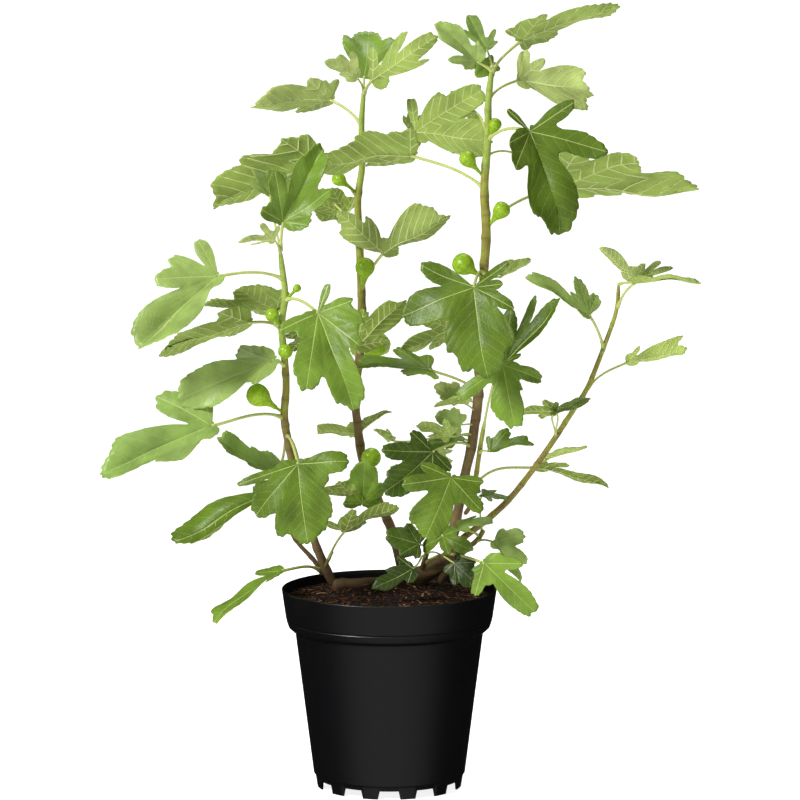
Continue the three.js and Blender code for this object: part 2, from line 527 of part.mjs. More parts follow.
// The stalk: a curve from the stem's heart to the hub, rising as it leaves the stem, that runs on
// a little way inside the blade as its midrib.
function petioleSolid(leaf, stem) {
  const { point } = stemAt(stem, leaf.out);
  const { along } = leafFrame(leaf);
  const reach = leaf.hub.distanceTo(point);
  const toward = leaf.hub.clone().sub(point).normalize();
  const rise = toward.clone().add(new Vector3(0, 0, 0.5)).normalize();
  const arrive = toward.clone().addScaledVector(along, 0.5).normalize();
  const curve = new THREE.CubicBezierCurve3(
    point,
    point.clone().addScaledVector(rise, 0.35 * reach),
    leaf.hub.clone().addScaledVector(arrive, -0.3 * reach),
    leaf.hub,
  );
  const size = THREE.MathUtils.clamp((leaf.long - 30) / 60, 0, 1);
  const thick = THREE.MathUtils.lerp(PETIOLE_THIN, PETIOLE_THICK, size);
  const line = curve.getPoints(PETIOLE_STEPS);
  const radii = line.map(() => thick);
  radii[PETIOLE_STEPS] = PETIOLE_TIP * bladeThickness(leaf);
  line.push(leafPoint(leaf, MIDRIB_REACH * leaf.long, 0, 0));
  radii.push(radii[PETIOLE_STEPS]);
  return tube(line, radii, PETIOLE_SIDES);
}

// A fig: a round body on a tapering neck, with a short stalk sunk into the stem.
function figSolid([out, x, y, z, radius], stem) {
  const { point } = stemAt(stem, out);
  const middle = new Vector3(x, y, z);
  const away = middle.clone().sub(point).normalize();
  const body = tube(
    FIG_SHAPE.map(([station]) => middle.clone().addScaledVector(away, station * radius)),
    FIG_SHAPE.map(([, width]) => width * radius),
    FIG_SIDES,
  );
  const seat = middle.clone().setZ(z - FIG_SEAT * radius);
  const stalk = tube([point, seat], [FIG_STALK, FIG_STALK], PETIOLE_SIDES);
  return [body, stalk];
}

// ---- pieces -----------------------------------------------------------------------------------
// The pot: one turned wall, collar, rim and floor, with drain notches cut in the foot ring.
function potSolid() {
  const wellInside = PAD_RADIUS - POT_WALL;
  const floorTop = FLOOR_HEIGHT + POT_WALL;
  const profile = [
    [0, 0], [PAD_RADIUS, 0], [PAD_RADIUS, FLOOR_HEIGHT], [FOOT_RADIUS - POT_WALL, FLOOR_HEIGHT],
    [FOOT_RADIUS - POT_WALL, 0], [FOOT_RADIUS, 0], [BODY_FOOT_RADIUS, BODY_FOOT],
    [BODY_TOP_RADIUS, BODY_TOP], [SHOULDER_RADIUS, BODY_TOP + 1.5],
    [COLLAR_RADIUS - 2.5, SHOULDER_TOP], [COLLAR_RADIUS, COLLAR_FOOT],
    [RIM_RADIUS, POT_TOP - 1.5], [RIM_RADIUS - 1, POT_TOP], [RIM_RADIUS - RIM_WALL, POT_TOP],
    [COLLAR_RADIUS - COLLAR_WALL, COLLAR_FOOT], [BODY_TOP_RADIUS - 1, SHOULDER_TOP],
    [BODY_TOP_RADIUS - POT_WALL, BODY_TOP], [BODY_FOOT_RADIUS - 0.4, floorTop],
    [wellInside, floorTop], [wellInside, POT_WALL], [0, POT_WALL],
  ];
  const turned = solidOf(latheZ(profile));
  const notch = new THREE.Shape();
  const [inner, outer] = [PAD_RADIUS + 20, RIM_RADIUS];
  const half = radians(NOTCH_ANGLE / 2);
  notch.moveTo(inner * Math.cos(half), -inner * Math.sin(half));
  notch.lineTo(outer * Math.cos(half), -outer * Math.sin(half));
  notch.lineTo(outer * Math.cos(half), outer * Math.sin(half));
  notch.lineTo(inner * Math.cos(half), inner * Math.sin(half));
  const wedge = new THREE.ExtrudeGeometry(notch, { depth: NOTCH_HEIGHT + 5, bevelEnabled: false });
  wedge.translate(0, 0, -5);
  const cuts = [];
  for (let k = 0; k < FOOT_COUNT; k++) {
    cuts.push(solidOf(wedge.clone().rotateZ((k * 2 * Math.PI) / FOOT_COUNT)));
  }
  return turned.subtract(wasm.Manifold.union(cuts));
}

// A turned solid about Z from a closed profile of radius and height.
function latheZ(profile) {
  const line = profile.map(([radius, height]) => new THREE.Vector2(radius, height));
  const geometry = new THREE.LatheGeometry(line, POT_SEGMENTS);
  return geometry.rotateX(Math.PI / 2);
}

// The potting mix fills the pot 0.3 mm clear of it, level in the middle and lower by the wall.
function soilSolid() {
  const wellInside = PAD_RADIUS - POT_WALL - GAP;
  const floorTop = FLOOR_HEIGHT + POT_WALL + GAP;
  const wallAt = THREE.MathUtils.mapLinear(SOIL_EDGE, COLLAR_FOOT, POT_TOP,
    COLLAR_RADIUS - COLLAR_WALL, RIM_RADIUS - RIM_WALL);
  const clear = GAP * 1.6;
  const profile = [
    [0, POT_WALL + GAP], [wellInside, POT_WALL + GAP], [wellInside, floorTop],
    [BODY_FOOT_RADIUS - 0.4 - clear, floorTop], [BODY_TOP_RADIUS - POT_WALL - clear, BODY_TOP],
    [BODY_TOP_RADIUS - 1 - clear, SHOULDER_TOP + GAP],
    [COLLAR_RADIUS - COLLAR_WALL - clear, COLLAR_FOOT + GAP],
    [wallAt - clear, SOIL_EDGE], [SOIL_LEVEL_RADIUS, SOIL_TOP], [0, SOIL_TOP],
  ];
  return solidOf(latheZ(profile));
}

// The trunk: the thick foot that creeps over the mix from the left stem to the right knot, with
// the first stretch of each stem, cut flat where it rests on the mix.
function trunkSolid() {
  const foot = STEMS.foot.map(([x, y, z, thick]) => ({ point: new Vector3(x, y, z), thick }));
  const parts = [tube(foot.map((s) => s.point), foot.map((s) => s.thick / 2), STEM_SIDES)];
  for (const [stem, height] of Object.entries(TRUNK_END)) {
    parts.push(stemPart(stem, STEMS[stem][0][2], height));
  }
  const below = new THREE.BoxGeometry(400, 400, 100);
  below.translate(0, 0, SOIL_TOP + GAP - 50);
  return fuse([wasm.Manifold.union(parts).subtract(solidOf(below))], "trunk");
}

// One mass: its stretch of stem with every leaf, stalk and fig fused on.
function massSolid(name, stem, from, to) {
  const parts = [stemPart(stem, from, to)];
  for (const [out, x, y, z, long, slant, lean, twist, fold, curl, roll, kind, lobes] of LEAVES[name]) {
    const hub = new Vector3(x, y, z);
    const leaf = { out, hub, long, slant, lean, twist, fold, curl, roll, kind, lobes };
    parts.push(bladeSolid(leaf), petioleSolid(leaf, stem));
  }
  for (const fig of FIGS[name] ?? []) {
    parts.push(...figSolid(fig, stem));
  }
  return fuse(parts, name);
}

// ---- assembly ---------------------------------------------------------------------------------
function finish(name, color, roughness) {
  return new THREE.MeshStandardMaterial({ name, color, roughness, metalness: 0 });
}

const materials = {
  pot: finish("pot_plastic", "#1c1c1d", 0.5),
  soil: finish("potting_mix", "#3a2218", 1),
  bark: finish("bark", "#6e5440", 0.9),
  foliage: finish("foliage", "#5c8a3a", 0.7),
};

const plant = new THREE.Group();
plant.name = "potted_fig_tree";

function addPiece(name, solid, material) {
  const piece = new THREE.Mesh(toGeometry(solid), materials[material]);
  piece.name = name;
  plant.add(piece);
}

addPiece("pot", potSolid(), "pot");
addPiece("potting_mix", soilSolid(), "soil");
addPiece("trunk", trunkSolid(), "bark");
for (const [stem, height] of Object.entries(BOUGH_END)) {
  addPiece(`${stem}_bough`, stemPart(stem, TRUNK_END[stem] + GAP, height), "bark");
  const tip = STEMS[stem].at(-1)[2];
  addPiece(`${stem}_crown`, massSolid(`${stem}_crown`, stem, height + GAP, tip), "foliage");
}
for (const [name, stem] of Object.entries({
  side_shoot: "side", low_left_shoot: "thin", low_inner_shoot: "inner", front_sucker: "front",
  right_sucker: "knot",
})) {
  const [first, last] = [STEMS[stem][0][2], STEMS[stem].at(-1)[2]];
  addPiece(name, massSolid(name, stem, first, last), "foliage");
}

export default plant;
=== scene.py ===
"""A young fig tree in a black nursery pot, standing on the floor at the origin, +Z up, front to -Y.

The sections follow the plant as it is put together: pot, potting mix with its fibres and chips,
woody stems, leaf blades, leaf veins, leaf stalks, young figs, then the floor, the lights and the
camera. Lengths are in millimetres and angles in degrees until a mesh is made.
"""
import bpy
import numpy as np
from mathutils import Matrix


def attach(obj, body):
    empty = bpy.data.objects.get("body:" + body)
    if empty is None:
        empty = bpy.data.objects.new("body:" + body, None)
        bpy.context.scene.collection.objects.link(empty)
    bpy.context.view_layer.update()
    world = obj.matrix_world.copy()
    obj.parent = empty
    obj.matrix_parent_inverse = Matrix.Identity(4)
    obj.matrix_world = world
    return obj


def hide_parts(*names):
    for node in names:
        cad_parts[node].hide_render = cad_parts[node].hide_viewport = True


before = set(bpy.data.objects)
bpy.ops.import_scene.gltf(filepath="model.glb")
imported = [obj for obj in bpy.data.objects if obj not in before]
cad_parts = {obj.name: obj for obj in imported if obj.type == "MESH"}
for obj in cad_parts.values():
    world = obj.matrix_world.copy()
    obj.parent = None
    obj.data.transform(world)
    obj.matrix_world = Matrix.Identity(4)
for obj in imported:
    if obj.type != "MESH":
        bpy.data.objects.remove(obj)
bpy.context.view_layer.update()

# ---- Pot ---------------------------------------------------------------------------------------
# A nursery pot injection moulded in black polypropylene: a tapered body, a wider collar that
# rounds in at its foot, a thin rim, and a foot ring cut into twelve feet by drain notches.
MM = 0.001  # metres
POT_WALL = 2
POT_TOP = 206  # height of the rim
RIM_RADIUS = 110.6
CREASE_HEIGHT = 174  # fine line round the collar, above its rounded foot
CREASE_RADIUS = 106
BODY_TOP = 163.5
BODY_TOP_RADIUS = 97
BODY_FOOT = 14
BODY_FOOT_RADIUS = 78
FOOT_RADIUS = 74.6  # outside of the foot ring on the ground
FLOOR_HEIGHT = 10
PAD_RADIUS = 25  # pressed well under the floor
NOTCH_HEIGHT = 8.5
NOTCH_HALF = 7.5  # half width of a drain notch, in degrees
NOTCH_SLOPE = 1.5  # width of its sloping side, in degrees
FOOT_PITCH = 30  # degrees from notch to notch
CORNER_ROUNDING = 0.9
ETCH_GRAIN = 1.0
POT_SEGMENTS = 240


def grid_faces(rows, columns):
    """Quads between neighbouring rows of a grid of points whose columns close into rings."""
    row, column = np.meshgrid(np.arange(rows - 1), np.arange(columns), indexing="ij")
    beside = (column + 1) % columns
    corners = [row * columns + column, row * columns + beside,
               (row + 1) * columns + beside, (row + 1) * columns + column]
    return np.stack(corners, axis=-1).reshape(-1, 4)


def rounded_line(corners, reach, longest=6.0):
    """A line with each corner turned into a short curve that starts `reach` before it.

    The curve is the parabola through both starts that points at the corner. Straight runs are
    then cut into steps no longer than `longest`.
    """
    corners = np.asarray(corners, float)
    middle = corners[1:-1]
    before = corners[:-2] - middle
    after = corners[2:] - middle
    size_before = np.linalg.norm(before, axis=1, keepdims=True)
    size_after = np.linalg.norm(after, axis=1, keepdims=True)
    size = np.minimum(reach, 0.45 * np.minimum(size_before, size_after))
    start = middle + before / size_before * size
    end = middle + after / size_after * size
    t = np.linspace(0, 1, 6)[None, :, None]
    curve = (1 - t) ** 2 * start[:, None] + 2 * t * (1 - t) * middle[:, None] + t ** 2 * end[:, None]
    line = np.concatenate([corners[:1], curve.reshape(-1, corners.shape[1]), corners[-1:]])
    along = np.concatenate([[0], np.cumsum(np.linalg.norm(np.diff(line, axis=0), axis=1))])
    steps = np.unique(np.concatenate([along, np.arange(0, along[-1], longest)]))
    steps = steps[np.concatenate([[True], np.diff(steps) > 0.02])]
    return np.stack([np.interp(steps, along, column) for column in line.T], axis=1)


def turned_shape(profile, segments):
    """Points and faces of a shape turned about Z from a line of radius and height that starts and
    ends on the axis, where its first and last rings are closed with a flat cap."""
    turn = np.arange(segments) * 2 * np.pi / segments
    radius = np.maximum(profile[:, 0], 0.05)[:, None]
    height = np.repeat(profile[:, 1:2], segments, axis=1)
    points = np.stack([radius * np.cos(turn), radius * np.sin(turn), height], axis=-1)
    rows = len(profile)
    first = np.arange(segments)[None, ::-1]
    last = (rows - 1) * segments + np.arange(segments)[None]
    return points, [grid_faces(rows, segments), first, last]


def add_piece(name, points, faces, materials, face_slots=None, marks=None):
    """A smooth-shaded mesh object at the origin, from points in millimetres and arrays of faces.

    face_slots gives each array of faces its place in the list of materials, and marks is a
    dictionary of named values, one or three for each point, that the materials read.
    """
    points = points.reshape(-1, 3)
    sides = np.concatenate([np.full(len(some), some.shape[1]) for some in faces])
    corners = np.concatenate([some.ravel() for some in faces])
    mesh = bpy.data.meshes.new(name)
    mesh.vertices.add(len(points))
    mesh.vertices.foreach_set("co", (points * MM).ravel())
    mesh.loops.add(len(corners))
    mesh.loops.foreach_set("vertex_index", corners.astype(np.int32))
    mesh.polygons.add(len(sides))
    starts = np.concatenate([[0], np.cumsum(sides)[:-1]])
    mesh.polygons.foreach_set("loop_start", starts.astype(np.int32))
    if face_slots is not None:
        slots = np.concatenate([np.full(len(some), slot) for some, slot in zip(faces, face_slots)])
        mesh.polygons.foreach_set("material_index", slots.astype(np.int32))
    for mark, values in (marks or {}).items():
        values = np.asarray(values, float).reshape(len(points), -1)
        plain = values.shape[1] == 1
        attribute = mesh.attributes.new(mark, "FLOAT" if plain else "FLOAT_VECTOR", "POINT")
        attribute.data.foreach_set("value" if plain else "vector", values.ravel())
    mesh.update(calc_edges=True)
    mesh.validate()
    mesh.shade_smooth()
    for material in materials:
        mesh.materials.append(material)
    piece = bpy.data.objects.new(name, mesh)
    bpy.context.scene.collection.objects.link(piece)
    return piece


def linear(hex_colour):
    """The linear colour of an sRGB hex value."""
    srgb = np.array([int(hex_colour[i:i + 2], 16) for i in (1, 3, 5)]) / 255
    value = np.where(srgb <= 0.04045, srgb / 12.92, ((srgb + 0.055) / 1.055) ** 2.4)
    return (*value, 1.0)


def add_node(owner, kind, inputs, **settings):
    """A node of a material or the world, with its settings. inputs maps a socket's name or number
    to a value or to the output that it is linked from."""
    tree = owner.node_tree
    node = tree.nodes.new(kind)
    for name, value in settings.items():
        setattr(node, name, value)
    for name, value in inputs.items():
        if isinstance(value, bpy.types.NodeSocket):
            tree.links.new(value, node.inputs[name])
        else:
            node.inputs[name].default_value = value
    return node


def add_material(name, **sockets):
    """A new material whose Principled shader has these sockets set, with spaces as underscores."""
    material = bpy.data.materials.new(name)
    material.use_nodes = True
    shader = material.node_tree.nodes["Principled BSDF"]
    for socket, value in sockets.items():
        shader.inputs[socket.replace("_", " ")].default_value = value
    return material, shader


def link_to(owner, shader, socket, output):
    """Links an output to one of the shader's sockets."""
    owner.node_tree.links.new(output, shader.inputs[socket])


# Moulded polypropylene, from a finely etched mould: near black, with a soft broad shine and a
# grain too fine to see singly, drawn at one millimetre so that it breaks the shine up a little.
polypropylene, shader = add_material(
    "moulded_polypropylene", Base_Color=linear("#08080a"), Roughness=0.34, IOR=1.49, Specular_IOR_Level=0.5)
place = add_node(polypropylene, "ShaderNodeTexCoord", {})
etch = add_node(polypropylene, "ShaderNodeTexNoise", {
    "Vector": place.outputs["Object"], "Scale": 1 / (ETCH_GRAIN * MM), "Detail": 2.0})
grain = add_node(polypropylene, "ShaderNodeBump", {
    "Height": etch.outputs[0], "Strength": 0.25, "Distance": 0.1 * MM})
link_to(polypropylene, shader, "Normal", grain.outputs["Normal"])

pot_profile = rounded_line([
    # underside: the middle pad, the raised floor and the foot ring
    (0, 0), (PAD_RADIUS, 0), (PAD_RADIUS, FLOOR_HEIGHT), (FOOT_RADIUS - POT_WALL, FLOOR_HEIGHT),
    (FOOT_RADIUS - POT_WALL, 0), (FOOT_RADIUS, 0),
    # body, from the small step over the feet up to the rounded foot of the collar
    (BODY_FOOT_RADIUS - 1.2, BODY_FOOT - 1), (BODY_FOOT_RADIUS, BODY_FOOT), (BODY_TOP_RADIUS, BODY_TOP),
    (BODY_TOP_RADIUS + 2.2, BODY_TOP - 0.6), (CREASE_RADIUS - 2.4, BODY_TOP + 3.2),
    # collar, with the crease pressed into it, and the rim's lip
    (CREASE_RADIUS - 0.3, CREASE_HEIGHT - 0.9), (CREASE_RADIUS - 0.9, CREASE_HEIGHT),
    (CREASE_RADIUS + 0.2, CREASE_HEIGHT + 1.2), (RIM_RADIUS - 0.4, POT_TOP - 3),
    (RIM_RADIUS, POT_TOP - 0.8), (RIM_RADIUS - 0.8, POT_TOP),
    # inside, from the rim down to the floor
    (RIM_RADIUS - 1.8, POT_TOP), (RIM_RADIUS - 2.6, POT_TOP - 3),
    (CREASE_RADIUS - POT_WALL, CREASE_HEIGHT), (BODY_TOP_RADIUS - 1, BODY_TOP + 3),
    (BODY_TOP_RADIUS - POT_WALL, BODY_TOP), (BODY_FOOT_RADIUS - POT_WALL, BODY_FOOT),
    (0, FLOOR_HEIGHT + POT_WALL),
], reach=CORNER_ROUNDING)
pot_points, pot_faces = turned_shape(pot_profile, POT_SEGMENTS)

# The notches lift the foot ring's lower edge: full height inside a notch, sloping at its sides.
# Points of the ring between that edge and the body are pressed together in proportion.
around = np.degrees(np.arctan2(pot_points[..., 1], pot_points[..., 0])) + 90
from_notch = np.abs((around + FOOT_PITCH / 2) % FOOT_PITCH - FOOT_PITCH / 2)
lower_edge = NOTCH_HEIGHT * np.clip((NOTCH_HALF + NOTCH_SLOPE - from_notch) / NOTCH_SLOPE, 0, 1)
pot_height = pot_points[..., 2]
from_axis = np.hypot(pot_points[..., 0], pot_points[..., 1])
on_ring = (from_axis > FOOT_RADIUS - POT_WALL - 1) & (pot_height < BODY_FOOT)
pressed = lower_edge + pot_height * (1 - lower_edge / BODY_FOOT)
pot_points[..., 2] = np.where(on_ring, pressed, pot_height)
pot = add_piece("pot_shell", pot_points, pot_faces, [polypropylene])
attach(pot, "root")
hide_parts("pot")

# ---- Potting mix -------------------------------------------------------------------------------
# Moist peat, poured in up to just under the rim, settled lower by the wall and heaped up over the
# creeping trunk. Its crumbs make its surface rough.
SOIL_LEVEL = 200
SOIL_LEVEL_RADIUS = 76
SOIL_EDGE = 195
SOIL_WALL_RADIUS = 107
SOIL_BASE = 186
MOUND_HEIGHT = 11
MOUND_X = 2
MOUND_Y = 24
MOUND_LENGTH = 34
MOUND_WIDTH = 24
CRUMB = 2.4  # width of a crumb
CRUMB_RISE = 0.55
SOIL_RINGS = 56
SOIL_SEGMENTS = 210
soil_seed = np.random.default_rng(11)


def soil_height(x, y):
    """Height of the mix without its crumbs: level, sloping down to the wall, and heaped up over
    the middle of the creeping trunk as a bell-shaped mound."""
    radius = np.hypot(x, y)
    flat = np.interp(radius, [SOIL_LEVEL_RADIUS, SOIL_WALL_RADIUS], [SOIL_LEVEL, SOIL_EDGE])
    off_mound = ((x - MOUND_X) / MOUND_LENGTH) ** 2 + ((y - MOUND_Y) / MOUND_WIDTH) ** 2
    return flat + MOUND_HEIGHT * np.exp(-off_mound)


def colour_ramp(material, value, stops):
    """The colour that a value picks from a ramp, whose stops give a place from 0 to 1 and a hex
    colour each."""
    ramp = add_node(material, "ShaderNodeValToRGB", {"Fac": value})
    elements = ramp.color_ramp.elements
    elements[0].position, elements[-1].position = stops[0][0], stops[-1][0]
    for position, _ in stops[1:-1]:
        elements.new(position)
    for element, (_, colour) in zip(elements, stops):
        element.color = linear(colour)
    return ramp.outputs["Color"]


# Moist peat: nearly black and quite without shine, with crumbs of a lighter reddish brown.
peat, shader = add_material("moist_peat", Base_Color=linear("#1c0f09"), Roughness=0.95,
                            Specular_IOR_Level=0.2)
place = add_node(peat, "ShaderNodeTexCoord", {})
crumbs = add_node(peat, "ShaderNodeTexNoise", {
    "Vector": place.outputs["Object"], "Scale": 1 / (CRUMB * MM), "Detail": 4.0, "Roughness": 0.7})
peat_colour = colour_ramp(peat, crumbs.outputs[0], [(0.38, "#090503"), (0.72, "#30190b")])
link_to(peat, shader, "Base Color", peat_colour)
crumb_bump = add_node(peat, "ShaderNodeBump", {
    "Height": crumbs.outputs[0], "Strength": 0.8, "Distance": 1.2 * MM})
link_to(peat, shader, "Normal", crumb_bump.outputs["Normal"])

ring = np.linspace(SOIL_WALL_RADIUS, 1, SOIL_RINGS)
soil_profile = np.concatenate([
    [[0, SOIL_BASE], [SOIL_WALL_RADIUS - 2, SOIL_BASE]],
    np.stack([ring, np.full(SOIL_RINGS, SOIL_LEVEL)], axis=1),
    [[0, SOIL_LEVEL]],
])
soil_points, soil_faces = turned_shape(soil_profile, SOIL_SEGMENTS)
crumb_heights = soil_seed.normal(0, 1.0, (SOIL_RINGS, SOIL_SEGMENTS))
crumb_heights += np.roll(crumb_heights, 1, axis=1) + 0.8 * np.roll(crumb_heights, 1, axis=0)
crumb_heights[0] = 0
crumb_heights[-1] = 0
surface = soil_points[2:-1]
surface[..., 2] = soil_height(surface[..., 0], surface[..., 1]) + CRUMB_RISE * crumb_heights
soil_points[-1, :, 2] = soil_height(0, 0)
soil = add_piece("peat", soil_points, soil_faces, [peat])
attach(soil, "root")
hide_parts("potting_mix")

# ---- Coir fibres -------------------------------------------------------------------------------
# Dry, springy hairs from coconut husk that are mixed into the peat and lie loose on it: bowed bars
# that thin out at both ends.
FIBRE_COUNT = 620
FIBRE_LENGTHS = (4, 17)
FIBRE_RADII = [0.12, 0.3, 0.34, 0.28, 0.1]  # from end to end
FIBRE_BOW = 0.35  # spread of how far a fibre's halves turn apart, in radians
FIBRE_SIDES = 3
FIBRE_SHADES = {  # colour and share of all fibres
    "red": ("#63371f", 0.36), "brown": ("#7f4d2a", 0.2), "dark": ("#2b150d", 0.39),
    "pale": ("#c49a72", 0.05),
}


def joined(shapes):
    """Several shapes of points and faces as one, with each one's faces counted on from its start."""
    starts = np.cumsum([0] + [points.size // 3 for points, _ in shapes])
    points = np.concatenate([points.reshape(-1, 3) for points, _ in shapes])
    faces = [some + start for (_, own), start in zip(shapes, starts) for some in own]
    return points, faces


def bars(lines, radii, sides, beside):
    """Round bars: lines holds each bar's stations, radii the radius at each station, and beside a
    direction that is never along the bar, from which its rings are turned.

    A ring lies square to the line, in the plane of two directions: across it and beside it. Each
    end is closed by a flat cap.
    """
    count, stations = lines.shape[:2]
    along = np.gradient(lines, axis=1)
    along /= np.linalg.norm(along, axis=-1, keepdims=True)
    across = np.cross(np.broadcast_to(beside, along.shape), along)
    across /= np.linalg.norm(across, axis=-1, keepdims=True)
    over = np.cross(along, across)
    turn = (np.arange(sides) * 2 * np.pi / sides)[:, None]
    radii = np.broadcast_to(radii if np.ndim(radii) == 3 else radii[..., None], (count, stations, sides))
    spokes = across[:, :, None] * np.cos(turn) + over[:, :, None] * np.sin(turn)
    points = lines[:, :, None] + radii[..., None] * spokes
    first = (np.arange(count) * stations * sides)[:, None]
    walls = (grid_faces(stations, sides)[None] + first[:, :, None]).reshape(-1, 4)
    foot = first + np.arange(sides)[::-1]
    tip = first + (stations - 1) * sides + np.arange(sides)
    return points, [walls, foot, tip]


def shades_of(material_name, shades, roughness):
    """A matt material for each shade, and the shares in which the shades are mixed."""
    materials = [
        add_material(f"{material_name}_{shade}", Base_Color=linear(colour), Roughness=roughness)[0]
        for shade, (colour, _) in shades.items()]
    return materials, [share for _, share in shades.values()]


# Coir: dull reddish and pale brown. Real fibres are a fifth of a millimetre thick, and are drawn
# at three times that so that they show.
fibre_materials, fibre_shares = shades_of("coir_fibre", FIBRE_SHADES, 0.8)
from_axis = SOIL_WALL_RADIUS * 0.95 * np.sqrt(soil_seed.random(FIBRE_COUNT))
turn = soil_seed.random(FIBRE_COUNT) * 2 * np.pi
heading = soil_seed.random(FIBRE_COUNT) * 2 * np.pi
bow = soil_seed.normal(0, FIBRE_BOW, FIBRE_COUNT)
length = soil_seed.uniform(*FIBRE_LENGTHS, FIBRE_COUNT)
t = np.linspace(-0.5, 0.5, len(FIBRE_RADII))[None]
direction = heading[:, None] + bow[:, None] * t * 2
fibre_x = (from_axis * np.cos(turn))[:, None] + length[:, None] * t * np.cos(direction)
fibre_y = (from_axis * np.sin(turn))[:, None] + length[:, None] * t * np.sin(direction)
inside = np.minimum(1, (SOIL_WALL_RADIUS - 2.5) / np.hypot(fibre_x, fibre_y))
fibre_x, fibre_y = fibre_x * inside, fibre_y * inside
rise = soil_seed.uniform(0.4, 1.8, (FIBRE_COUNT, 1)) + soil_seed.uniform(-1, 1.6, (FIBRE_COUNT, 1)) * t
fibre_lines = np.stack([fibre_x, fibre_y, soil_height(fibre_x, fibre_y) + rise], axis=-1)
fibre_radii = np.tile(FIBRE_RADII, (FIBRE_COUNT, 1))
shade = soil_seed.choice(len(FIBRE_SHADES), FIBRE_COUNT, p=fibre_shares)
shapes = [bars(fibre_lines[shade == k], fibre_radii[shade == k], FIBRE_SIDES, (0, 0, 1))
          for k in range(len(FIBRE_SHADES))]
fibre_points, fibre_faces = joined(shapes)
fibres = add_piece("coir_fibres", fibre_points, fibre_faces, fibre_materials,
                   np.repeat(np.arange(len(shapes)), [len(own) for _, own in shapes]))
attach(fibres, "root")
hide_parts("potting_mix")

# ---- Bark chips --------------------------------------------------------------------------------
# Composted bark broken into small flat chips, which are mixed into the peat and lie on it tilted a
# little: eight-sided slivers, each with its own three sizes.
CHIP_COUNT = 1500
CHIP_REACH = (0.7, 2.6)  # half the size of a chip
CHIP_SHAPE = ((0.7, 0.35, 0.25), (1.3, 0.8, 0.5))  # least and most of it along, across and through
CHIP_TILT = 0.4  # spread of the tilt, in radians
CHIP_SHADES = {  # colour and share of all chips
    "wet": ("#100805", 0.54), "brown": ("#2b160c", 0.32), "fresh": ("#804826", 0.11),
    "pale": ("#b58a66", 0.03),
}

# Composted bark: matt, nearly black where wet and orange-brown where freshly broken.
chip_materials, chip_shares = shades_of("composted_bark", CHIP_SHADES, 0.85)
corners = np.array([(1, 0, 0), (0, 1, 0), (-1, 0, 0), (0, -1, 0), (0.2, 0.1, 1), (-0.1, 0.1, -1)], float)
chip_faces = np.array([(0, 1, 4), (1, 2, 4), (2, 3, 4), (3, 0, 4),
                       (1, 0, 5), (2, 1, 5), (3, 2, 5), (0, 3, 5)])
from_axis = (SOIL_WALL_RADIUS - 4) * np.sqrt(soil_seed.random(CHIP_COUNT))
turn = soil_seed.random(CHIP_COUNT) * 2 * np.pi
size = soil_seed.uniform(*CHIP_REACH, (CHIP_COUNT, 1))
size = size * soil_seed.uniform(*CHIP_SHAPE, (CHIP_COUNT, 3))
facing = soil_seed.random(CHIP_COUNT)[:, None] * 2 * np.pi
tilt = soil_seed.normal(0, CHIP_TILT, CHIP_COUNT)[:, None]
chip = corners[None] * size[:, None]
x = chip[..., 0] * np.cos(tilt) - chip[..., 2] * np.sin(tilt)
y = chip[..., 1]
z = chip[..., 0] * np.sin(tilt) + chip[..., 2] * np.cos(tilt)
chip_x, chip_y = from_axis * np.cos(turn), from_axis * np.sin(turn)
chip_z = soil_height(chip_x, chip_y) + soil_seed.uniform(-0.2, 1.5, CHIP_COUNT)
chip_points = np.stack([
    x * np.cos(facing) - y * np.sin(facing) + chip_x[:, None],
    x * np.sin(facing) + y * np.cos(facing) + chip_y[:, None],
    z + chip_z[:, None],
], axis=-1)
shade = np.sort(soil_seed.choice(len(CHIP_SHADES), CHIP_COUNT, p=chip_shares))
all_faces = chip_faces[None] + (np.arange(CHIP_COUNT) * len(corners))[:, None, None]
shade_faces = [all_faces[shade == k].reshape(-1, 3) for k in range(len(CHIP_SHADES))]
chips = add_piece("bark_chips", chip_points, shade_faces, chip_materials, range(len(CHIP_SHADES)))
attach(chips, "root")
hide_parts("potting_mix")

